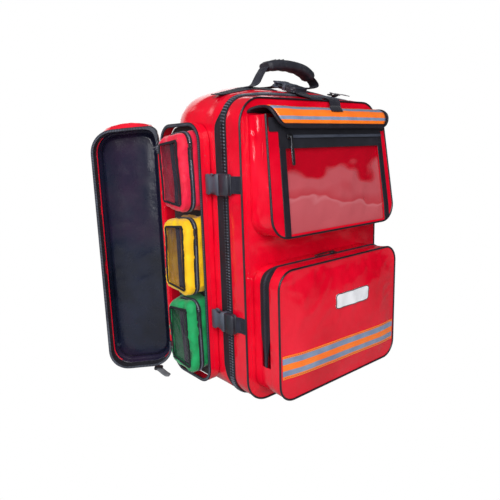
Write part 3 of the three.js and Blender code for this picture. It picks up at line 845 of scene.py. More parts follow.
def lid():
    run = outline(LID_RECT, CORNER)
    back = low_high("lid_gusset")[1].y
    ys = [FACE_Y + 1 + (back - FACE_Y - 1) * j / 6 for j in range(7)]
    rows = [[crown(FRONT(a, b, y)) for a, b, _, _ in run.even(6)] for y in ys]
    rows.append([crown(FRONT(a - na * 1.4, b - nb * 1.4, ZIP_MID - 2)) for a, b, na, nb in run.even(6)])
    uneven = crumple(5, 40, 1.3, 1.2, 14)
    hold = lambda p: smooth((p.y - FACE_Y - 1) / 12) * smooth((back - p.y) / 9) * smooth(p.z / 25)
    built("lid_side", grid(rows, closed=True), RED, "front_lid", "red_vinyl", "lid_gusset", thick=2.8,
          crinkle=lambda p: (uneven(p) + 0.4) * hold(p))
    rect = inset(LID_RECT, 0.6)
    rough_face = crumple(8, 55, 1.0, 1.3, 16)

    def held(p):
        """How freely the face moves: not at the piping round its edge."""
        edge = min(HALF - abs(p.x), p.z - FOOT, TALL - p.z)
        return smooth(edge / 14)

    shape = panel(rect, CORNER - 0.6, 6, FRONT, FACE_Y + 0.5)
    face = built("lid_face", shape, RED, "front_lid", "red_vinyl", "lid_front", thick=VINYL,
                 crinkle=lambda p: (rough_face(p) - 0.2) * held(p))
    pipe = swept(run, ring(0, FACE_Y + 0.4), FRONT, 5)
    built("lid_edge_piping", pipe, PIPING, "front_lid", "black_piping", "lid_piping")
    seam_run = outline(inset(LID_RECT, 12), CORNER - 12)
    line = [FRONT(a, b, FACE_Y) for a, b, _, _ in seam_run.even(10)]
    sewn("lid_face_seam", face, line + line[:1], THREAD, "front_lid", "red_vinyl", away=TOWARDS_VIEWER)


# ---------------------------------------------------------------- document pocket
DOC_LOW, DOC_HIGH = low_high("doc_gusset")
DOC_DEPTH = 38
DOC_LEAN = 13
DOC_HALF = 166
DOC_RECT = (-DOC_HALF, DOC_HALF, DOC_LOW.z, DOC_HIGH.z)
DOC_CORNER = 36
DOC_CORE = Vector((0, FACE_Y - 15, (DOC_LOW.z + DOC_HIGH.z) / 2))
DOC_ZIP_Z = 488
VIEW = (-126, 138, 321, 470)


def lean(p):
    """The pocket stands further out at its foot than at its mouth, and its right edge flares there."""
    share = min(max((FACE_Y - p.y) / DOC_DEPTH, 0), 1)
    drop = (DOC_HIGH.z - p.z) / (DOC_HIGH.z - DOC_LOW.z)
    side = (p.x + DOC_HALF) / (2 * DOC_HALF)
    flare = -12 + 20 * min(drop / 0.85, 1)
    ahead = (DOC_LEAN + 5 * side) * drop
    return Vector((p.x + (6 * (1 - side) + flare * side) * share, p.y - ahead * share, p.z))


def leaning(shape):
    return [lean(p) for p in shape[0]], shape[1]


def document_pocket():
    found = arcs(DOC_RECT, DOC_CORNER)
    run = Run([(-DOC_HALF, DOC_HIGH.z, -1, 0), *found[2], *found[3], (DOC_HALF, DOC_HIGH.z, 1, 0)])
    front = FACE_Y - DOC_DEPTH
    ys = [FACE_Y - 0.4 + (front + 1 - FACE_Y) * j / 8 for j in range(9)]
    rows = [[lean(FRONT(a, b, y)) for y in ys] for a, b, _, _ in run.even(6)]
    fold = crumple(12, 30, 1.6, 2.4, 12)
    hold = lambda p: smooth((FACE_Y - p.y) / 9) * smooth((p.y - front + DOC_LEAN) / 10)
    along = lambda p: fold(Vector((p.x, p.y * 2.2, p.z * 0.35)))
    built("doc_side", grid(rows), RED, "front_lid", "red_vinyl", "doc_gusset", core=DOC_CORE, thick=VINYL,
          crinkle=lambda p: (along(p) - 0.3) * hold(p))
    uneven = crumple(14, 50, 1.1, 1.0, 15)
    edge = lambda p: smooth(min(DOC_HALF - 8 - abs(p.x), p.z - DOC_LOW.z) / 12)
    shape = leaning(panel(inset(DOC_RECT, 1), DOC_CORNER - 1, 7, FRONT, front + 0.4, VIEW))
    built("doc_front", shape, RED, "front_lid", "red_vinyl", "doc_face", core=DOC_CORE, thick=2.4,
          crinkle=lambda p: uneven(p) * edge(p) * 0.5)
    wavy = crumple(17, 65, 1.5, 0.9, 24)
    view = inset(VIEW, -4)
    inside = lambda p: smooth(within(view, p.x, p.z) / 22)
    shape = leaning(panel(view, 4, 6, FRONT, front + 3.4))
    built("doc_pane", shape, CLEAR, "front_lid", "clear_vinyl", "doc_window", core=DOC_CORE, thick=0.8,
          crinkle=lambda p: (wavy(p) - 0.4) * inside(p))
    pipe = leaning(swept(Run(run.stations), ring(0.4, front + 0.6), FRONT, 5))
    built("doc_edge_piping", pipe, PIPING, "front_lid", "black_piping", "doc_piping")
    bindings = []

    def foot(x):
        """Where the piping passes below a point of the pocket's face."""
        beyond = max(abs(x) - DOC_HALF + DOC_CORNER, 0)
        return DOC_LOW.z + 1 + DOC_CORNER - math.sqrt(DOC_CORNER ** 2 - beyond ** 2)

    for x0, x1 in ((VIEW[0] - 14, VIEW[0] + 1), (VIEW[1] - 1, VIEW[1] + 14)):
        rows = [[(x0, front - 0.1), (x0 + 1, front - 1.4), (x1 - 1, front - 1.4), (x1, front - 0.1)]] * 30
        line = [VIEW[2] - 9 + (VIEW[3] - VIEW[2] + 12) * i / 29 for i in range(30)]
        rows = [[FRONT(x, max(z, foot(x)), y) for x, y in row] for row, z in zip(rows, line)]
        bindings.append(leaning(tubed(rows, False)))
    built("doc_window_bindings", merge(*bindings), LINING, "front_lid", "zip_tape", core=DOC_CORE)
    upper_band = panel((4 - DOC_HALF, DOC_HALF - 4, 496, 519), 2, 7, FRONT, front - 0.9)
    lower_band = panel((VIEW[0] - 14, VIEW[1] + 14, 468, 497), 2, 7, FRONT, front - 0.9)
    shape = leaning(merge(upper_band, lower_band))
    settle = crumple(19, 60, 0.5, 0.4)
    tape = built("doc_zip_tape", shape, TAPE_CLOTH, "front_lid", "zip_tape", "doc_zip_band",
                 core=DOC_CORE, thick=1.4, crinkle=settle)
    coil = Run([(-113, DOC_ZIP_Z, 0, 1), (VIEW[1] + 12, DOC_ZIP_Z, 0, 1)])
    shape = leaning(merge(swept(coil, ring(0, front - 2.2, 1.5, 6), FRONT, 12),
                          teeth(coil, front - 3.6, front - 1.6, -2.6, 2.6, FRONT, 2.4)))
    built("doc_zip_coil", shape, BUCKLES, "front_lid", "zip_tape", core=None)
    for name, z in (("doc_tape_seam_upper", DOC_ZIP_Z + 14), ("doc_tape_seam_lower", DOC_ZIP_Z - 14)):
        line = [lean(FRONT(x, z, front)) for x in range(-144, 146, 12)]
        sewn(name, tape, line, DARK_THREAD, "front_lid", "zip_tape", away=TOWARDS_VIEWER)


# ---------------------------------------------------------------- flap over its mouth
FLAP_LOW, FLAP_HIGH = low_high("flap")
FLAP_COLUMNS = 56
FLAP_SIDE = ((0.6, 529), (-4, 533.5), (-10, 536), (-20, 537.5), (-35, 535.5), (-46, 528), (-51, 516),
             (-52.5, 503))


def flap():
    line = curve_through([Vector((FACE_Y + t, z)) for t, z in FLAP_SIDE], 1.5)
    marks = [0]
    for p, q in zip(line, line[1:]):
        marks.append(marks[-1] + (q - p).length)
    total = marks[-1]

    def bite(s, radius):
        """How far a lower corner of this radius takes the edge in."""
        return radius - math.sqrt(max(radius ** 2 - max(s - total + radius, 0) ** 2, 0))

    def left(s):
        return FLAP_LOW.x + 12 * smooth(s / (total * 0.35)) + bite(s, 34)

    def right(s):
        return FLAP_HIGH.x - 4 - bite(s, 26)

    def sheet(lift, s0, s1, pull):
        """The flap between two marks, lifted off its cloth and narrowed."""
        rows = []
        for s, p in zip(marks, shift_line(line, lift)):
            if s0 <= s <= s1:
                x0, x1 = left(s) + pull * 0.6, right(s) - pull
                rows.append([Vector((x, p.x, p.y)) for x in ladder((x0, x1), (x1 - x0) / FLAP_COLUMNS)])
        return grid(rows)

    sag = crumple(23, 80, 1.6, 0.6, 30)
    loose = lambda p: sag(p) * smooth((FACE_Y - 6 - p.y) / 20)
    core = (0, FACE_Y - 5, 480)
    base = built("flap_cloth", sheet(0, 0, total, 0), LINING, None, "flap_lining", "flap",
                 core=core, thick=VINYL, offset=0, crinkle=loose)
    stops = (0, total - 45, total - 39, total - 30, total - 18, total - 11, total - 5.5)
    tape = []
    for ends in zip(stops, stops[1:]):
        s0, s1 = (min(marks, key=lambda m: abs(m - s)) for s in ends)
        tape.append(sheet(2.2, s0, s1, 8))
    colours = (RED, ORANGE, SILVER, ORANGE, SILVER, ORANGE)
    top = striped("flap_reflective_tape", tape, colours, [ORANGE, SILVER, RED], core, 0.9, crinkle=loose)
    done(top, None, "reflective_tape", "flap_tape")
    rim = [Vector((left(s), p.x, p.y)) for s, p in zip(marks, line)]
    rim += [Vector((x, line[-1].x, line[-1].y)) for x in range(int(left(total)) + 6, int(right(total)), 6)]
    rim += [Vector((right(s), p.x, p.y)) for s, p in reversed(list(zip(marks, line)))]
    bound = built("flap_edge_binding", pipe_along(rim, 2.4), LINING, None, "flap_lining", core=None)
    for piece in (base, top, bound):
        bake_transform(piece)
    straps(line, marks)


def around(here, side, across, radius, sides):
    """Ring of points about a point of a line."""
    turns = [2 * math.pi * k / sides for k in range(sides)]
    return [here + (side * math.cos(w) + across * math.sin(w)) * radius for w in turns]


def pipe_along(line, radius):
    """Tube of points and faces along a line in space."""
    rows = []
    side = None
    for i, here in enumerate(line):
        run = (line[min(i + 1, len(line) - 1)] - line[max(i - 1, 0)]).normalized()
        guess = side if side is not None else Vector((0, 0, 1) if abs(run.z) < 0.9 else (1, 0, 0))
        side = (guess - run * guess.dot(run)).normalized()
        rows.append(around(here, side, run.cross(side), radius, 8))
    return tubed(rows, False)


def straps(line, marks):
    """The webbing that holds the flap: over the lid's top edge, down to the flap's upper half."""
    low, high = low_high("flap_strap")
    path = ((30, 10), (16, 7.5), (4, 5.5), (-5, 1), (-9, -6), (-13, -12))
    over = [Vector((FACE_Y + t, TALL + z)) for t, z in path]
    down = [p for p, s in zip(shift_line(line, 4.4), marks) if 18 < s < marks[-1] - 26]
    path = curve_through(over + down[::4] + down[-1:], 4)
    drift = lambda a, b, c: Vector((c - 42 * smooth((FACE_Y - 2 - a) / 48), a, b))
    shape = ribbon(path, 2, low.x, high.x, drift)
    strap = built("flap_hold_strap", shape, WEBBING, None, "black_webbing", "flap_strap",
                  core=(0, FACE_Y, 480))
    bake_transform(strap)


# ---------------------------------------------------------------- lower pocket
LOW_LOW, LOW_HIGH = low_high("low_cover")
LOW_RECT = (LOW_LOW.x, LOW_HIGH.x, LOW_LOW.z, LOW_HIGH.z + 6)
LOW_CORNER = 32
LOW_FRONT = LOW_LOW.y
LOW_ZIP_LOW, LOW_ZIP_HIGH = low_high("low_zip")
LOW_CORE = Vector((0, FACE_Y - 30, (LOW_LOW.z + LOW_HIGH.z) / 2))
LOW_SWELL = 6


def low_face_depth(a, b):
    """How far forward the stuffed front of the lower pocket stands."""
    across = abs(a) / LOW_HIGH.x
    up = abs(b - LOW_CORE.z) / (LOW_HIGH.z - LOW_CORE.z)
    return LOW_FRONT + 0.6 - LOW_SWELL * smooth((1 - across) / 0.35) * smooth((1 - up) / 0.5)


def lower_pocket():
    run = outline(LOW_RECT, LOW_CORNER)
    zip_back, zip_front = LOW_ZIP_HIGH.y, LOW_ZIP_LOW.y
    mid_y = (zip_back + zip_front) / 2

    def shut(a, b):
        """How far the cloth closes over the zip: not at all on the left side, wholly along the top."""
        return smooth((a - LOW_LOW.x - 4) / 38) * smooth((b - LOW_ZIP_LOW.z) / 30)

    cover = mid_y - zip_back + 1
    rows = []
    for j in range(5):
        y = FACE_Y - 0.4 + (zip_back + 0.4 - FACE_Y) * j / 4
        rows.append([FRONT(a, b, y + cover * shut(a, b) * j / 4) for a, b, _, _ in run.even(7)])
    uneven = crumple(31, 40, 1.2, 1.0, 14)
    mid = lambda p: smooth(min(FACE_Y - p.y, p.y - zip_back) / 7)
    built("low_flange_cloth", grid(rows, closed=True), RED, "front_lid", "red_vinyl", "low_flange",
          core=LOW_CORE, thick=VINYL, crinkle=lambda p: uneven(p) * mid(p))
    foot = LOW_ZIP_LOW.z
    found = arcs(LOW_RECT, LOW_CORNER)
    zip_run = Run([(LOW_HIGH.x, foot, 1, 0), *found[0], *found[1], (LOW_LOW.x, foot, -1, 0)])
    lower = [(LOW_LOW.x, foot - 1, -1, 0), *found[2], *found[3], (LOW_HIGH.x, foot - 1, 1, 0)]
    rows = []
    for a, b, na, nb in zip_run.even(5):
        wide = (smooth((b - foot) / 70) * 0.86 + 0.14) * (1 - 0.86 * shut(a, b))
        rows.append([FRONT(a + na * u, b + nb * u, mid_y + (c - mid_y) * wide)
                     for u, c in band(-2.4, 0, zip_back - 0.3, zip_front + 0.3, 4)])
    built("low_zip_tape", tubed(rows, False), TAPE_CLOTH, "low_cover", "zip_tape", "low_zip",
          core=LOW_CORE)
    coil = merge(swept(zip_run, ring(0.4, mid_y, 1.5, 6), FRONT, 8),
                 teeth(zip_run, mid_y - 3, mid_y + 3, 0, 1.9, FRONT, 2.6))
    built("low_zip_coil", coil, CATCHES, "low_cover", "zip_tape", core=None)
    bulge = crumple(35, 45, 2.2, 1.8, 15)
    rows = []
    for j in range(7):
        y = zip_front - 0.4 + (LOW_FRONT + 1 - zip_front) * j / 6
        rows.append([FRONT(a, b, y - cover * shut(a, b) * (1 - j / 6)) for a, b, _, _ in run.even(6)])
    ends = lambda p: smooth((zip_front - p.y) / 10) * smooth((p.y - LOW_FRONT) / 9)
    hold = lambda p: ends(p) * smooth((p.z - 22) / 30)
    built("low_cover_side", grid(rows, closed=True), RED, "low_cover", "red_vinyl", "low_cover",
          core=LOW_CORE, thick=VINYL, crinkle=lambda p: (bulge(p) + 0.6) * hold(p))
    ys = [zip_back - 0.4 + (zip_front - 1 - zip_back) * j / 8 for j in range(9)]
    rows = [[FRONT(a - na * 0.4, b - nb * 0.4, y) for y in ys] for a, b, na, nb in Run(lower).even(6)]
    foot_cloth = built("low_foot_cloth", grid(rows), RED, None, "red_vinyl", core=LOW_CORE, thick=2.4)
    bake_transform(foot_cloth)
    face_wrinkles = crumple(37, 62, 1.7, 1.6, 17)
    shape = panel(inset(LOW_RECT, 0.6), LOW_CORNER - 0.6, 5.5, FRONT, low_face_depth)

    def creased(p):
        edge = min(LOW_HIGH.x - abs(p.x), p.z - LOW_LOW.z, LOW_HIGH.z - p.z)
        gathers = 1.5 * noise.noise(Vector((p.x / 11, 3, p.z / 60))) * smooth((p.z - 205) / 40)
        folds = face_wrinkles(p) * (0.45 + 0.55 * smooth((p.z - 120) / 60))
        return (folds + gathers - 0.2) * smooth(edge / 12)

    face = built("low_cover_face", shape, RED, "low_cover", "red_vinyl", core=LOW_CORE, thick=VINYL,
                 crinkle=creased)
    pipe = swept(run, ring(0.6, LOW_FRONT + 0.4), FRONT, 5)
    built("low_edge_piping", pipe, PIPING, "low_cover", "black_piping", "low_piping")
    tree = surface_of(face)

    def resting(shape, lift):
        """A flat shape laid on the pocket's face."""
        laid = []
        for p in shape[0]:
            spot, _, _, _ = tree.ray_cast(Vector((p.x, p.y - 40, p.z)) * MM, Vector((0, 1, 0)))
            laid.append(Vector((p.x, (spot.y / MM if spot else p.y) - lift, p.z)))
        return laid, shape[1]

    tape_low, tape_high = low_high("low_tape")
    sloped = lambda x, z, y: Vector((x, y, z - 10 * (x - tape_low.x) / (tape_high.x - tape_low.x)))
    stops = (0, 6, 16.5, 28.5, 39.5, 44)
    parts = []
    for z0, z1 in zip(stops, stops[1:]):
        rect = (tape_low.x, tape_high.x, tape_low.z + z0, tape_low.z + z1)
        parts.append(resting(panel(rect, 0.1, 5, sloped, LOW_FRONT), 0.9))
    colours = (ORANGE, SILVER, ORANGE, SILVER, ORANGE)
    tape = striped("low_reflective_tape", parts, colours, [ORANGE, SILVER], LOW_CORE, 0.8)
    done(tape, "low_cover", "reflective_tape", "low_tape")
    for name, z in (("low_tape_seam_lower", tape_low.z + 2.5), ("low_tape_seam_upper", tape_high.z - 2.5)):
        line = [sloped(x, z, LOW_FRONT - 8) for x in range(-156, 158, 12)]
        sewn(name, tape, line, DARK_THREAD, "low_cover", "reflective_tape", away=TOWARDS_VIEWER)
    label_low, label_high = low_high("low_label")
    rect = (label_low.x - 7, label_high.x - 7, label_low.z + 6, label_high.z - 5)
    flat = panel(rect, 6, 4, FRONT, LOW_FRONT)
    built("low_blank_label", resting(flat, 1.0), BLANK, "low_cover", "blank_label", "low_label",
          core=LOW_CORE, thick=1.2, offset=0)
    rim = [FRONT(a, b, LOW_FRONT) for a, b, _, _ in outline(inset(rect, 0.5), 5.5).even(4)]
    border, _ = resting((rim, []), 1.5)
    built("low_label_border", loop_pipe(border, 0.9), DARK_THREAD, "low_cover", "blank_label", core=None)


def loop_pipe(line, radius):
    """Closed tube along a closed line in space."""
    rows = []
    middle = sum(line, Vector()) / len(line)
    for i, here in enumerate(line):
        run = (line[(i + 1) % len(line)] - line[i - 1]).normalized()
        out = here - middle
        side = (out - run * out.dot(run)).normalized()
        rows.append(around(here, side, run.cross(side), radius, 6))
    return tubed(rows, True)


# ---------------------------------------------------------------- left side pocket and its door
POD_LOW, POD_HIGH = low_high("pod_wall")
POD_RECT = (POD_LOW.y, POD_HIGH.y, POD_LOW.z, POD_HIGH.z)
POD_CORNER = 35
DOOR_CORNER = 42
POD_RIM = POD_LOW.x
POD_CORE = Vector((POD_RIM + 20, (POD_LOW.y + POD_HIGH.y) / 2, (POD_LOW.z + POD_HIGH.z) / 2))
DOOR_RIM = POD_RIM - 3.4
DOOR_FACE = DOOR_RIM - 40
DOOR_AXIS = Vector((DOOR_RIM, POD_HIGH.y + 2, 0))
DOOR_OPEN = -130
DOOR_TURN = Matrix.Rotation(math.radians(DOOR_OPEN), 4, "Z")
DOOR_SAG = 9
DOOR_CORE = Vector((DOOR_RIM - 15, POD_CORE.y, POD_CORE.z))


def squared(p):
    """The door's top corner beside the hinge is tighter than its other corners."""
    along = min(p.y - POD_RECT[1] + DOOR_CORNER, DOOR_CORNER - 1)
    up = p.z - POD_RECT[3] + DOOR_CORNER
    if along <= 0 or up <= 0:
        return p
    tight = 18
    past = max(along - DOOR_CORNER + tight, 0)
    target = DOOR_CORNER - tight + math.sqrt(tight ** 2 - past ** 2)
    tall = math.sqrt(DOOR_CORNER ** 2 - along ** 2)
    return Vector((p.x, p.y, p.z + (target - tall) * min(up / tall, 1)))


def swing(p):
    """From the shut door to the open one, whose free edge sags."""
    p = squared(p)
    sag = DOOR_SAG * max((DOOR_AXIS.y - p.y) / (DOOR_AXIS.y - POD_RECT[0]), 0) ** 1.4
    return DOOR_TURN @ (p - DOOR_AXIS - Vector((0, 0, sag))) + DOOR_AXIS


def swung(shape):
    return [swing(p) for p in shape[0]], shape[1]


def side_pocket():
    run = outline(POD_RECT, POD_CORNER)
    xs = [-HALF - 0.4 + (POD_RIM + HALF + 0.4) * j / 4 for j in range(5)]
    rows = [[SIDE(a, b, x) for a, b, _, _ in run.even(7)] for x in xs]
    uneven = crumple(41, 45, 1.0, 0.9, 14)
    hold = lambda p: smooth(min(-HALF - 0.4 - p.x, p.x - POD_RIM) / 6)
    wall = built("side_pocket_wall", grid(rows, closed=True), RED, "shell", "red_vinyl", "pod_wall",
                 core=POD_CORE, thick=VINYL, crinkle=lambda p: uneven(p) * hold(p))
    zip_run = open_run(POD_RECT, POD_CORNER, 0, 12)
    tape = swept(zip_run, band(-6, 0.6, POD_RIM - 0.4, POD_RIM - 2.2, 1), SIDE, 6)
    teeth_row = teeth(zip_run, POD_RIM - 2.4, POD_RIM - 1.2, -4.4, -0.6, SIDE, 3.2)
    built("side_pocket_zip", tape, TAPE_CLOTH, "shell", "zip_tape", "pod_zip", core=POD_CORE)
    built("side_pocket_teeth", teeth_row, TEETH, "shell", "zip_tape", core=None)
    line = [SIDE(a, b, POD_RIM + 8) for a, b, _, _ in run.even(12)]
    sewn("side_pocket_seam", wall, line + line[:1], THREAD, "shell", "red_vinyl")
    liner = panel(inset(POD_RECT, 4), POD_CORNER - 4, 9, SIDE, -HALF - 0.9)
    patch = crumple(43, 50, 0.2, 0.2)
    built("side_pocket_lining", liner, PADDING, "shell", "black_padding",
          core=POD_CORE + Vector((60, 0, 0)), thick=0.8, crinkle=patch)


def side_door():
    walls = [(DOOR_RIM - 3.4 - (DOOR_RIM - DOOR_FACE - 15.4) * i / 4, 0) for i in range(5)]
    rounding = ((-7, 1), (-3, 4), (0, 12), (3, 22), (6, 34), (8, 48), (9, 60))
    levels = walls + [(DOOR_FACE - out, by) for out, by in rounding]
    uneven = crumple(51, 55, 2.2, 1.8, 16)
    hold = lambda p: smooth((DOOR_RIM - 4 - p.x) / 14)
    span = POD_RECT[1] - POD_RECT[0]

    def bulge(p):
        """The stuffed pocket on the door stands above its rim."""
        arch = math.sin(math.pi * min(max((p.y - POD_RECT[0]) / span, 0), 1))
        return 13 * arch * smooth((p.z - POD_RECT[3] + 14) / 14) * smooth((DOOR_RIM - 10 - p.x) / 14)

    outer = make("door_cloth", *lofted(POD_RECT, DOOR_CORNER, levels, SIDE, 8), RED, DOOR_CORE, VINYL,
                 crinkle=lambda p: (uneven(p) - 0.5) * hold(p) + bulge(p))
    turn_mesh(outer)
    done(outer, "side_door", "red_vinyl", "door_shell")
    zip_run = open_run(POD_RECT, DOOR_CORNER, 0, 12)
    tape = merge(swept(zip_run, band(-4.4, 0.8, DOOR_RIM - 0.3, DOOR_RIM - 3.2), SIDE),
                 swept(outline(POD_RECT, DOOR_CORNER), band(-4.2, -3, DOOR_RIM - 3.2, DOOR_RIM - 22), SIDE))
    built("door_zip_tape", swung(tape), TAPE_CLOTH, "side_door", "zip_tape", "door_zip",
          core=swing(DOOR_CORE))
    row = teeth(zip_run, DOOR_RIM - 0.4, DOOR_RIM + 0.8, -4.2, -0.4, SIDE, 3.2, 0.5)
    built("door_zip_teeth", swung(row), TEETH, "side_door", "zip_tape", core=None)
    found = arcs(POD_RECT, DOOR_CORNER)
    line = swept(Run(found[1][4:] + found[2][:7]), ring(-5, DOOR_RIM - 22.5, 1.1, 6), SIDE)
    built("door_red_edge", swung(line), RED, "side_door", "red_vinyl", core=None)
    rect = inset(POD_RECT, 4.4)
    levels = [(DOOR_RIM - 21, 0), (DOOR_RIM - 28, 0.6), (DOOR_RIM - 32.5, 3), (DOOR_RIM - 35, 8)]
    ring_part = lofted(rect, DOOR_CORNER - 4, levels, SIDE, 7, cap=False)
    swell = crumple(53, 90, 1.5, 0.9, 30)

    def pad_depth(a, b):
        edge = within(rect, a, b) - 8
        return DOOR_RIM - 35 + 1.5 * smooth(edge / 26) + swell((a, b, 0)) * smooth(edge / 18)

    face = panel(inset(rect, 8), DOOR_CORNER - 12, 6, SIDE, pad_depth)
    pad = make("door_padded_lining", *merge(ring_part, face), DOOR_LINING, core=None)
    flip_towards(pad, Vector((1, 0, 0)))
    thicken(pad, 2)
    shade_smooth(pad)
    turn_mesh(pad)
    done(pad, "side_door", "door_padding", "door_lining")
    hinge_cloth()
    door_pull()


def turn_mesh(obj):
    """Swing a mesh that was made on the shut door."""
    for v in obj.data.vertices:
        v.co = swing(v.co / MM) * MM
    obj.data.update()


def flip_towards(obj, way):
    bm = bmesh.new()
    bm.from_mesh(obj.data)
    bmesh.ops.recalc_face_normals(bm, faces=bm.faces)
    if sum(f.normal.dot(way) * f.calc_area() for f in bm.faces) < 0:
        bmesh.ops.reverse_faces(bm, faces=bm.faces)
    bm.to_mesh(obj.data)
    bm.free()


def hinge_cloth():
    """Red cloth on which the door turns, along its rear edge."""
    z0, z1 = POD_RECT[2] + DOOR_CORNER, POD_RECT[3] - DOOR_CORNER
    pocket = Vector((POD_RIM + 6, POD_HIGH.y + 1.2, 0))
    knee = Vector((DOOR_RIM, POD_HIGH.y + 2.4, 0))
    door = swing(Vector((DOOR_RIM - 12, POD_HIGH.y + 1.0, 0)))
    path = curve_through([pocket, knee, door], 2.5)
    rows = [[Vector((p.x, p.y, z0 + (z1 - z0) * i / 40)) for p in path] for i in range(41)]
    strip = built("door_hinge_cloth", grid(rows), RED, None, "red_vinyl", core=POD_CORE, thick=1.6,
                  offset=0)
    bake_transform(strip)


def door_pull():
    low_y = POD_HIGH.y + 2 - 34
    foot = POD_LOW.z
    body = rounded_block(DOOR_RIM - 11, DOOR_RIM + 2, low_y - 9, low_y + 9, foot - 10.5, foot - 2.5, 2)
    path = ((-8, -6.5), (10, -9), (24, -11.5), (40, -12.5))
    line = curve_through([(a, foot + drop) for a, drop in path], 2.5)
    turn = Matrix.Rotation(math.radians(-48), 4, "Z")
    pivot = Vector((DOOR_RIM - 4, low_y, 0))
    tab = ribbon(line, 4.4, -6.5, 6.5, SIDE, round_ends=5)
    tab = ([turn @ p + pivot for p in tab[0]], tab[1])
    slider = make("door_slider_body", *swung(body), METAL, core=None)
    pull = make("door_slider_pull", *swung(tab), PULL, core=None)
    done(slider, "door_slider", "slider_metal", "door_slider")
    done(pull, "door_slider", "pull_rubber")
    ribs = []
    for i in range(5):
        p = line[4 + 2 * i]
        rib = rounded_block(-4.5, 4.5, p.x - 0.8, p.x + 0.8, p.y - 2.9, p.y + 2.9, 0.5)
        ribs.append(([turn @ q + pivot for q in rib[0]], rib[1]))
    built("door_pull_ribs", swung(merge(*ribs)), PULL, "door_slider", "pull_rubber", core=None)


def rounded_block(x0, x1, y0, y1, z0, z1, soft=1.0):
    """Box with chamfered edges, as rings along Z."""
    rows = []
    for z, by in ((z0, soft), (z0 + soft, 0), (z1 - soft, 0), (z1, soft)):
        a0, a1, b0, b1 = x0 + by, x1 - by, y0 + by, y1 - by
        c = soft
        rows.append([Vector(p) for p in ((a0 + c, b0, z), (a1 - c, b0, z), (a1, b0 + c, z), (a1, b1 - c, z),
                                         (a1 - c, b1, z), (a0 + c, b1, z), (a0, b1 - c, z), (a0, b0 + c, z))])
    return tubed(rows, False)


# ---------------------------------------------------------------- pouches in the side pocket
POUCH_CORNER = 22
POUCH_TALL = 0.955


def pouches():
    for k, colour in enumerate(("red", "yellow", "green")):
        pouch(colour, 60 + 7 * k)


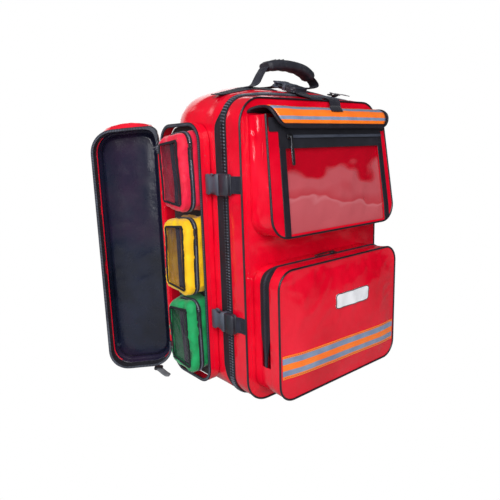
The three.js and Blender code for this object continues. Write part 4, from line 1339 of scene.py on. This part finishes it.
def pouch(colour, seed):
    own, cover = f"pouch_{colour}", f"pouch_{colour}_lid"
    low, high = low_high(f"{own}_tub")
    middle = (low + high) / 2
    twist = (-1) ** seed * 2

    def slump(shape):
        """The bag hangs from its front edge: its rear edge is shorter, and its face sinks a little."""
        moved = []
        for p in shape[0]:
            back = min(max((p.y - low.y) / (high.y - low.y), 0), 1)
            out = min(max((low.x + 30 - p.x) / 50, 0), 1)
            tall = p.z - middle.z
            z = middle.z + tall * (POUCH_TALL - 0.13 * back * out) - (3 + twist * math.sin(tall / 30)) * out
            moved.append(Vector((p.x, p.y + (2 - 9 * back + twist * math.sin(tall / 26)) * out, z)))
        return moved, shape[1]

    pane_low, pane_high = low_high(f"{own}_window")
    rect = (low.y, high.y, low.z, high.z)
    cloth_look = POUCH_COLOURS[colour]
    root, rim, face_x = high.x, low.x, low_high(f"{own}_cover")[0].x
    uneven = crumple(seed, 34, 3.2, 3.0, 12)
    flank = [(root - 4 + (rim - root + 4) * i / 5, 0) for i in range(6)]
    hold = lambda p: smooth((p.x - rim) / 8) * smooth((root - p.x) / 5)
    tub = lofted(rect, POUCH_CORNER, [(root, 60), (root, 20), (root, 6), *flank], SIDE, 5, cap=False)
    built(f"{own}_bag", slump(tub), cloth_look, own, own, f"{own}_tub",
          core=middle, thick=2.2, crinkle=lambda p: (uneven(p) - 1.9) * hold(p))
    levels = [(rim - 0.8, 0), (rim - 5, -0.6), (rim - 10, -0.6), (face_x + 5, 0), (face_x + 1.5, 2),
              (face_x, 6)]
    ring_part = lofted(rect, POUCH_CORNER, levels, SIDE, 5, cap=False)
    view = (pane_low.y - 0.4, pane_high.y + 0.4, pane_low.z - 0.4, pane_high.z + 0.4)
    crowned = lambda a, b: face_x - 2.5 * smooth((within(rect, a, b) - 6) / 14)
    front = panel(inset(rect, 6), 16, 4, SIDE, crowned, view)
    cover_hold = lambda p: smooth((rim - 2 - p.x) / 6)
    built(f"{own}_front", slump(merge(ring_part, front)), cloth_look, cover, own, f"{own}_cover",
          core=middle, thick=1.8, crinkle=lambda p: (uneven(p) - 0.4) * cover_hold(p) * 0.8)
    edge_line = curve_through([(rim + 9, high.y - 0.6), (rim, high.y + 1.6), (rim - 9, high.y - 0.6)], 2)
    levels = [low.z + 26 + (high.z - low.z - 52) * i / 16 for i in range(17)]
    rows = [[Vector((q.x, q.y, z)) for q in edge_line] for z in levels]
    strip = built(f"{own}_hinge_cloth", slump(grid(rows)), cloth_look, None, own,
                  core=middle, thick=1.4, offset=0)
    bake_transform(strip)
    wavy = crumple(seed + 3, 40, 1.6, 1.2, 14)
    built(f"{own}_film", slump(panel(inset(view, -3), 4, 4, SIDE, face_x + 0.6)), CLEAR_POUCH, cover,
          "clear_vinyl", f"{own}_window",
          core=middle, thick=0.7, crinkle=lambda p: wavy(p) * smooth(within(view, p.y, p.z) / 14))
    trim = swept(outline(view, 3), band(-2.2, 2.2, face_x - 3.4, face_x - 1.6), SIDE, 5)
    built(f"{own}_trim", slump(trim), TAPE_CLOTH, cover, "zip_tape", core=middle)
    elastic_y = view[0] + (view[1] - view[0]) * 0.42
    rows = []
    for i in range(25):
        z = view[2] - 4 + (view[3] - view[2] + 8) * i / 24
        y = elastic_y + 2.5 * math.sin(i / 24 * math.pi * 1.3 + seed)
        rows.append([SIDE(y + u, z, face_x + 4.5 + c) for u, c in ((-7, 0), (7, 0), (7, 1), (-7, 1))])
    built(f"{own}_elastic", slump(tubed(rows, False)), WEBBING, cover, "black_webbing", core=middle)
    found = arcs(rect, POUCH_CORNER)
    run = Run([(rect[0] + 62, rect[3], 0, 1), *found[1], *found[2], (rect[0] + 62, rect[2], 0, -1)])
    tape = swept(run, band(0.1, 1.3, rim - 6, rim + 4), SIDE, 5)
    coil = merge(swept(run, ring(1.4, rim - 1, 1.1, 6), SIDE, 8),
                 teeth(run, rim - 2.8, rim + 0.8, 1, 2.4, SIDE, 2.6))
    for word, shape, look in (("tape", tape, TAPE_CLOTH), ("coil", coil, TEETH)):
        built(f"{own}_zip_{word}", slump(shape), look, own, "zip_tape", core=None)
    z = rect[3] - 26
    slider = merge(rounded_block(rim - 5, rim + 3, rect[0] - 3.4, rect[0] - 0.4, z - 5, z + 5, 1.2),
                   rounded_block(rim - 3, rim + 1, rect[0] - 4.6, rect[0] - 2.8, z - 26, z - 2, 0.8))
    built(f"{own}_zip_pull", slump(slider), METAL, own, "slider_metal", core=None)


# ---------------------------------------------------------------- buckles and their webbing
def plate_between(outline_points, z0, z1, soft):
    """A flat piece from an outline (x, y), with bevelled edges."""
    rows = []
    for z, by in ((z0, soft), (z0 + soft, 0), (z1 - soft, 0), (z1, soft)):
        line = []
        count = len(outline_points)
        for i, p in enumerate(outline_points):
            before, after = Vector(outline_points[i - 1]), Vector(outline_points[(i + 1) % count])
            run = (after - before).normalized()
            out = Vector((run.y, -run.x))
            q = Vector(p) - out * by
            line.append(Vector((q.x, q.y, z)))
        rows.append(line)
    return tubed(rows, False)


def mirrored(half_line):
    """Closed outline from its right half, listed upwards in y."""
    return [Vector(p) for p in half_line] + [Vector((-x, y)) for x, y in reversed(half_line)]


def socket_shape():
    shell_top = mirrored([(17.5, 0.2), (19.2, 1.6), (19.2, 7), (17.2, 9.5), (14.4, 12), (14.2, 21),
                          (16.6, 25), (18.6, 28), (18.8, 33), (17.2, 37.6), (8, 38)])
    upper = plate_between(shell_top, 2.9, 6.0, 1.0)
    lower = plate_between(shell_top, -6.0, -2.9, 1.0)
    core = rounded_block(-12.6, 12.6, 22, 37.4, -3.4, 3.4, 0.6)
    collar = rounded_block(-19.2, -15.8, 0.3, 7.4, -5, 5, 1.2)
    other = rounded_block(15.8, 19.2, 0.3, 7.4, -5, 5, 1.2)
    bar = rounded_block(-17.4, 17.4, 31.5, 35, -4.6, 4.6, 1.4)
    ridge = [rounded_block(-9 + 6 * i, -6.6 + 6 * i, 26, 34, 5.7, 6.7, 0.4) for i in range(4)]
    return merge(upper, lower, core, collar, other, bar, *ridge)


def tongue_shape():
    base = mirrored([(13, -26), (17.4, -25), (18.9, -22), (18.9, -4), (17.8, -0.8), (8, -0.5)])
    frame_low = plate_between(base, -5.6, -1.4, 1.2)
    frame_high = plate_between(base, 1.4, 5.6, 1.2)
    side = [rounded_block(s * 17.2 - 1.5, s * 17.2 + 1.5, -24, -1.4, -4, 4, 1.0) for s in (-1, 1)]
    rail = [rounded_block(-16, 16, y - 1.6, y + 1.6, -4.4, 4.4, 1.0) for y in (-23.4, -12)]
    arms = []
    for s in (-1, 1):
        arm = [(s * x, y) for x, y in ((15.5, -2), (18.4, 3), (18.6, 8), (18.4, 12), (18.5, 18), (16, 22.6),
                                       (12.6, 20), (12, 8), (11.5, -2))]
        arms.append(plate_between(arm if s > 0 else arm[::-1], -2.5, 2.5, 0.7))
    guide = rounded_block(-2.4, 2.4, -2, 22, -2.4, 2.4, 0.7)
    return merge(frame_low, frame_high, *side, *rail, *arms, guide)


def stood(shape, place, turn_x=0, turn_y=0):
    """Turn a shape about Y, then X, and move it."""
    turn = Matrix.Rotation(math.radians(turn_x), 3, "X") @ Matrix.Rotation(math.radians(turn_y), 3, "Y")
    return [turn @ p + Vector(place) for p in shape[0]], shape[1]


def buckles():
    for name, tilt, roll in (("upper", 0, 90), ("lower", 0, 90), ("top", 18, 0)):
        low, high = low_high(f"buckle_socket_{name}")
        mouth = (low + high) / 2 - Matrix.Rotation(math.radians(tilt), 3, "X") @ Vector((0, 19, 0))
        for word, shape, look, body in (("socket", socket_shape(), BUCKLES, "shell"),
                                        ("tongue", tongue_shape(), CATCHES, "front_lid")):
            built(f"side_release_{word}_{name}", stood(shape, mouth, tilt, roll), look, body,
                  "buckle_plastic", f"buckle_{word}_{name}", core=None, sharp=50)
    for name in ("upper", "lower"):
        low, high = low_high(f"lid_web_{name}")
        x, z = (low.x + high.x) / 2, (low.z + high.z) / 2

        def webbing(path, step, thick, half):
            """Webbing along (behind the face, off the side) points."""
            line = curve_through([Vector((FACE_Y + t, x + u)) for t, u in path], step)
            return ribbon(line, thick, z - half, z + half, lambda p, q, w: Vector((q, p, w)))

        path = ((-1.5, -1.4), (1, 0.2), (6, 0.4), (14, 0.4), (20, -1.6), (25, -4.2), (29, -5.8))
        web = built(f"lid_webbing_{name}", webbing(path, 2.5, 1.8, 15), WEBBING, "front_lid",
                    "black_webbing", f"lid_web_{name}", core=(0, 0, z))
        path = ((84, -6.4), (88, -5.6), (90.5, -2), (88, 0.2), (79, 0.6), (70, 0.7))
        built(f"shell_webbing_{name}", webbing(path, 2, 1.6, 14), WEBBING, "shell", "black_webbing",
              core=(0, 0, z))
        line = [Vector((x - 1, FACE_Y + t, z + u)) for t, u in ((4, -9), (4, 9), (15, 9), (15, -9), (4, -9))]
        sewn(f"lid_webbing_seam_{name}", web, line, DARK_THREAD, "front_lid", "black_webbing",
             pitch=3.2, long=2, wide=0.7, away=Vector((-1, 0, 0)))
    top_webbing()


def top_z(x, y):
    return TALL + rise(x, y)


def top_webbing():
    """Both ends of the strap over the top, each along (behind the face, above the dome) points."""
    for name, body, node, step, path in (
            ("lid_webbing_top", "front_lid", "lid_web_top", 3,
             ((-3.2, 0.5), (0.5, 4.2), (8, 4), (18, 4.4), (30, 5), (40, 7))),
            ("shell_webbing_top", "shell", "top_web", 4,
             ((101, 9), (107, 5), (125, 2.4), (150, 2.2), (175, 2.2), (198, 2.2), (202, 1.6)))):
        spots = [Vector((FACE_Y + t, top_z(0, FACE_Y + max(t, 0)) + u)) for t, u in path]
        web = built(name, ribbon(curve_through(spots, step), 1.8, -15, 15, SIDE), WEBBING, body,
                    "black_webbing", node, core=(0, 0, 400))
    for name, t in (("front", 172), ("rear", 194)):
        line = [Vector((x, FACE_Y + t, 640)) for x in (-12, 12)]
        sewn(f"shell_webbing_seam_{name}", web, line, DARK_THREAD, "shell", "black_webbing",
             pitch=3.2, long=2, wide=0.7, away=Vector((0, 0, 1)))


# ---------------------------------------------------------------- carry handle
def plump(sides, square_across, square_up):
    """Ring of (across, up) points from -1 to 1, squarer than a circle."""
    found = []
    for k in range(sides):
        w = 2 * math.pi * k / sides
        cos, sin = math.cos(w), math.sin(w)
        found.append((math.copysign(abs(cos) ** square_across, cos),
                      math.copysign(abs(sin) ** square_up, sin)))
    return found


def handle_patch(side):
    """Webbing sewn flat to the top, under one end of the handle."""
    low, high = low_high(f"handle_patch_{side}")
    rows = []
    for i in range(25):
        x = low.x + (high.x - low.x) * i / 24
        row = [Vector((x, low.y + (high.y - low.y) * j / 6, 0)) for j in range(7)]
        rows.append([Vector((p.x, p.y, top_z(p.x, p.y) + 1.2 + 0.5 * noise.noise(p / 20))) for p in row])
    patch = built(f"handle_base_{side}", grid(rows), WEBBING, "shell", "black_webbing",
                  f"handle_patch_{side}", thick=1.6)
    rect = (low.x + 4, high.x - 4, low.y + 3, high.y - 3)
    line = [Vector((a, b, 640)) for a, b, _, _ in outline(rect, 2).even(10)]
    sewn(f"handle_base_seam_{side}", patch, line + line[:1], DARK_THREAD, "shell", "black_webbing",
         pitch=3.6, long=2.2, wide=0.7, away=Vector((0, 0, 1)))


def carry_handle():
    web_low, web_high = low_high("handle_web")
    y = (web_low.y + web_high.y) / 2
    for side in ("left", "right"):
        handle_patch(side)
    seat = top_z(-70, y) + 3
    path = ((-92, -1.5), (-80, 0), (-69, 6), (-62, 16), (-53, 28), (-40, 38), (8, 43), (52, 38), (76, 26),
            (90, 16), (94, 9), (88, 5), (72, 3.5), (52, 2.5), (34, 0.5))
    line = curve_through([Vector((x, seat + z)) for x, z in path], 3)
    first, last = (min(range(len(line)), key=lambda i: (line[i] - Vector((x, seat + z))).length)
                   for x, z in ((-40, 38), (76, 26)))
    for side, part, nodes in (("left", line[:first + 3], ["handle_web"]), ("right", line[last - 3:], [])):
        web = built(f"handle_webbing_{side}", ribbon(part, 2.2, y - 13, y + 13, FRONT), WEBBING, None,
                    "black_webbing", *nodes, core=None)
        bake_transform(web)
    rows = []
    grip_line = line[first - 1:last + 2]
    count = len(grip_line) - 1
    for i, p in enumerate(grip_line):
        run = (grip_line[min(i + 1, count)] - grip_line[max(i - 1, 0)]).normalized()
        up = Vector((-run.y, run.x))
        full = 0.82 + 0.18 * smooth(min(i, count - i) / 2)
        swell = 1 + 0.06 * math.sin(i * 0.8)
        ring_points = []
        for across, tall in plump(20, 0.55, 0.75):
            tall = tall * 9.4 * full * (swell if tall < 0 else 1)
            spot = Vector((p.x, y + across * 17 * full, p.y))
            ring_points.append(spot + Vector((up.x, 0, up.y)) * (tall + 0.8))
        rows.append(ring_points)
    built("handle_rubber_grip", tubed(rows, False), GRIP, "carry_handle", "grip_rubber", "handle_grip",
          core=None)
    ribs = []
    for place, long in ((0.2, 9), (0.27, 9), (0.34, 9), (0.66, 5), (0.72, 5), (0.78, 5), (0.84, 5)):
        i = int(place * count)
        run = (grip_line[i + 1] - grip_line[i]).normalized()
        centre = Vector((grip_line[i].x, y, grip_line[i].y))
        turn = Matrix(((run.x, 0, -run.y), (0, 1, 0), (run.y, 0, run.x)))
        for block in (rounded_block(-1.3, 1.3, -long, long, 9, 11.4, 0.5),
                      rounded_block(-1.3, 1.3, -17, -14.6, -3, 5, 0.5)):
            ribs.append(([turn @ p + centre for p in block[0]], block[1]))
    built("handle_grip_ribs", merge(*ribs), PIPING, "carry_handle", "grip_rubber", core=None)


# ---------------------------------------------------------------- zip sliders
def slider_body(long=13, wide=10, tall=5):
    """A slider lying along X on the plane z = 0: wedge, crown and eye."""
    wedge = [(-long / 2, -wide * 0.34), (-long * 0.1, -wide / 2), (long / 2, -wide * 0.42),
             (long / 2, wide * 0.42), (-long * 0.1, wide / 2), (-long / 2, wide * 0.34)]
    body = plate_between([Vector(p) for p in wedge], 0, tall * 0.55, 0.7)
    bridge = rounded_block(-long * 0.25, long * 0.3, -wide * 0.13, wide * 0.13, tall * 0.4, tall, 0.6)
    return merge(body, bridge)


def pull_tab(long, wide=6, thick=1.6):
    """A pull along +X from the origin, with an eye and a rounded end."""
    turns = [math.radians(-90 + 180 * i / 8) for i in range(9)]
    end = [Vector((long - wide / 2 + wide / 2 * math.cos(w), wide / 2 * math.sin(w))) for w in turns]
    neck = [Vector((0, wide * 0.3)), Vector((long * 0.25, wide * 0.28)), Vector((long * 0.32, wide / 2))]
    line = [*(Vector((p.x, -p.y)) for p in neck), *end, *reversed(neck)]
    tab = plate_between(line, 0, thick, 0.4)
    ribs = [rounded_block(long * 0.45 + 3 * i, long * 0.45 + 3 * i + 1.2, -wide * 0.32, wide * 0.32,
                          thick - 0.2, thick + 0.5, 0.2)
            for i in range(int(long * 0.13))]
    return merge(tab, *ribs)


def posed(shape, matrix):
    return [matrix @ p for p in shape[0]], shape[1]


def basis(origin, x_axis, y_axis):
    x_axis = Vector(x_axis).normalized()
    z_axis = x_axis.cross(Vector(y_axis)).normalized()
    y_axis = z_axis.cross(x_axis)
    turn = Matrix((x_axis, y_axis, z_axis)).transposed().to_4x4()
    return Matrix.Translation(Vector(origin)) @ turn


def sliders():
    low, high = low_high("main_slider")
    y = (low.y + high.y) / 2
    bodies = []
    for x, way in ((low.x + 6, 1), (low.x + 21, -1)):
        z = top_z(x, y) + 4.0
        bodies.append(posed(slider_body(13, 11, 5), basis((x, y, z), (way, 0, -0.05), (0, way, 0.3))))
    built("main_zip_sliders", merge(*bodies), METAL, "main_slider", "slider_metal", "main_slider",
          core=None)
    pulls = []
    for x, long, bend in ((low.x + 4, 34, 0.10), (low.x + 20, 38, -0.16)):
        z = top_z(x, y) + 9.2
        pulls.append(posed(pull_tab(long, 6.5), basis((x, y - 1, z), (1, bend, -0.12), (0, 1, 0.25))))
    built("main_zip_pulls", merge(*pulls), PULL, "main_slider", "slider_metal", core=None)
    low, high = low_high("doc_slider")
    x, front = (low.x + high.x) / 2, high.y
    body = posed(slider_body(12, 9, 5), basis((x, front + 1.5, DOC_ZIP_Z), (1, 0, 0), (0, 0, 1)))
    tab = posed(pull_tab(46, 7, 1.8), basis((x - 1, front - 5, 485), (0, -0.10, -1), (1, 0, 0)))
    eye = rounded_block(-3, 3, -3.4, 3.4, 0, 2.4, 0.8)
    loop = posed(eye, basis((x, front - 3.4, 486), (1, 0, 0), (0, 0, 1)))
    built("doc_zip_slider", merge(body, loop), METAL, "doc_slider", "slider_metal", "doc_slider",
          core=None)
    built("doc_zip_pull", tab, METAL, "doc_slider", "slider_metal", core=None)
    low, high = low_high("low_slider")
    y, z = (low.y + high.y) / 2, LOW_RECT[3] + 1.6
    body = posed(slider_body(14, 10, 5), basis((15, y, z), (-1, 0, 0), (0, -1, 0)))
    tab = posed(pull_tab(54, 7, 1.8), basis((13, y, z + 4.2), (-1, -0.06, -0.02), (0, -1, 0)))
    built("low_zip_slider", body, METAL, "low_slider", "slider_metal", "low_slider", core=None)
    built("low_zip_pull", tab, METAL, "low_slider", "slider_metal", core=None)


# ---------------------------------------------------------------- back panel, shoulder straps and divider
def stuffed(obj, voxel=0.006, pressure=4.0, cap=5.0, frames=20):
    """Swell a closed shape by cloth simulation, moving no point further than cap millimetres."""
    remesh = obj.modifiers.new("remesh", "REMESH")
    remesh.mode = "VOXEL"
    remesh.voxel_size = voxel
    bake(obj)
    before = [v.co.copy() for v in obj.data.vertices]
    sim = obj.modifiers.new("cloth", "CLOTH")
    sim.settings.use_pressure = True
    sim.settings.uniform_pressure_force = pressure
    sim.settings.effector_weights.gravity = 0
    sim.settings.quality = 5
    scene = bpy.context.scene
    for f in range(1, frames + 1):
        scene.frame_set(f)
    bake(obj)
    for v, was in zip(obj.data.vertices, before):
        move = v.co - was
        if move.length > cap * MM:
            v.co = was + move.normalized() * cap * MM
    scene.frame_set(1)


def back_pads():
    low, high = low_high("back_panel")
    core = (0, low.y - 40, 280)
    base_y, full_y = low.y, high.y
    left, right = low.x + 6, high.x - 6
    cushions = [(left, -8, 300, high.z - 8), (8, right, 300, high.z - 8), (left, -8, 150, 286),
                (8, right, 150, 286), (left, right, low.z + 6, 136)]
    rect = (low.x, high.x, low.z, high.z)
    swell = crumple(71, 70, 0.6, 0.5, 22)

    def depth(a, b):
        best = max(smooth(within(cushion, a, b) / 16) for cushion in cushions)
        return base_y + 3.5 + (full_y - base_y - 3.5) * best + swell((a, 0, b)) * best

    face = panel(rect, 40, 6, FRONT, depth)
    rim = lofted(rect, 40, [(base_y + 0.4, 0.5), (base_y + 3.5, 0)], FRONT, 8, cap=False)
    pad = built("back_padding", merge(face, rim), PADDING, "shell", "black_padding", "back_panel",
                core=core, thick=1.6)
    pipe = swept(outline(rect, 40), ring(0.2, base_y + 3, 2.2, 8), FRONT, 6)
    built("back_padding_edge", pipe, PIPING, "shell", "black_piping", core=None)


def shoulder_straps():
    for side, x in (("left", -88), ("right", 88)):
        low, high = low_high(f"shoulder_strap_{side}")
        wide = (high.x - low.x) / 2
        path = ((3, 506), (10, 513), (19, 515), (34, 514), (50, 499), (58, 462), (58.5, 400), (54.5, 330),
                (44.5, 264))
        line = curve_through([Vector((BACK_Y + t, z)) for t, z in path], 7)
        total = len(line) - 1
        rows = []
        for i, here in enumerate(line):
            run = (line[min(i + 1, total)] - line[max(i - 1, 0)]).normalized()
            up = Vector((-run.y, run.x))
            share = i / total
            waist = 0.9 + 0.1 * math.cos(share * math.pi * 1.6)
            half = wide * waist * (1 - 0.35 * smooth((share - 0.93) / 0.07))
            thick = 6.2 * (0.55 + 0.45 * smooth(min(share, 1 - share) / 0.1))
            rows.append([Vector((x + u * half, here.x + up.x * (v * thick), here.y + up.y * (v * thick)))
                         for u, v in plump(24, 0.6, 0.8)])
        pad = make(f"shoulder_padding_{side}", *tubed(rows, False), PADDING, core=None)
        stuffed(pad, 0.005, 3.0, 3.0)
        shade_smooth(pad)
        done(pad, "shell", "black_padding", f"shoulder_strap_{side}")
        outward = shift_line(line, -7.4)
        web = ribbon(outward[3:-1], 1.6, x - 12.5, x + 12.5, SIDE)
        built(f"shoulder_webbing_{side}", web, WEBBING, "shell", "black_webbing", core=None)
        path = ((45, 272), (43.5, 258), (30, 170), (15.5, 66), (4, 40))
        tail = curve_through([(BACK_Y + t, z) for t, z in path], 6)
        lower = ribbon(tail, 1.8, x - 13, x + 13, SIDE)
        built(f"shoulder_tail_{side}", lower, WEBBING, "shell", "black_webbing", f"strap_web_{side}",
              core=None)
        ladder_lock(side, x)
    chest_strap()


def ladder_lock(side, x):
    rail = [rounded_block(x - 17, x + 17, -2, 2, z - 2, z + 2, 0.9) for z in (-12, 0, 12)]
    cheek = [rounded_block(x + s * 16 - 2, x + s * 16 + 2, -2.6, 2.6, -14, 14, 1.2) for s in (-1, 1)]
    place = Matrix.Translation((0, BACK_Y + 43, 250)) @ Matrix.Rotation(math.radians(-9), 4, "X")
    shape = posed(merge(*rail, *cheek), place)
    built(f"ladder_lock_{side}", shape, BUCKLES, "shell", "buckle_plastic", core=None)


def chest_strap():
    low, high = low_high("chest_strap")
    y = (low.y + high.y) / 2
    middle = (low.z + high.z) / 2
    path = ((-70, 5), (-58, 1), (-30, 2), (0, 3), (30, 2), (58, 1), (70, 5))
    line = curve_through([(x, y + t) for x, t in path], 4)
    shape = ribbon(line, 1.6, middle - 10, middle + 10, LEVEL)
    built("chest_webbing", shape, WEBBING, "shell", "black_webbing", "chest_strap", core=None)
    clip = merge(rounded_block(-21, 1, y + 1.4, y + 7.4, middle - 12.5, middle + 12.5, 1.6),
                 rounded_block(2, 21, y + 1.6, y + 7.2, middle - 12, middle + 12, 1.6),
                 rounded_block(-14, 14, y + 2.6, y + 6, middle - 14, middle + 14, 1.2))
    built("chest_clip", clip, BUCKLES, "shell", "buckle_plastic", core=None)


def divider():
    low, high = low_high("divider")
    rect = (low.x, high.x, low.y, high.y)
    upper = panel(rect, 12, 8, LEVEL, lambda a, b: high.z - 1.5 + 1.5 * smooth(within(rect, a, b) / 16))
    lower = panel(rect, 12, 8, LEVEL, lambda a, b: low.z + 1.5 - 1.5 * smooth(within(rect, a, b) / 16))
    edge = lofted(rect, 12, [(low.z + 1.5, 0), (low.z + 5, -0.6), (high.z - 1.5, 0)], LEVEL, 8, cap=False)
    pad = built("divider_padding", merge(upper, lower, edge), PADDING, "shell", "black_padding",
                "divider", core=(0, 30, (low.z + high.z) / 2), sharp=60)
    hem = swept(outline(rect, 12), ring(0, (low.z + high.z) / 2, 1.8, 8), LEVEL, 7)
    built("divider_edge", hem, PIPING, "shell", "black_piping", core=None)


main_shell()
main_zip()
lid()
document_pocket()
flap()
lower_pocket()
side_pocket()
side_door()
pouches()
buckles()
carry_handle()
sliders()
back_pads()
shoulder_straps()
divider()
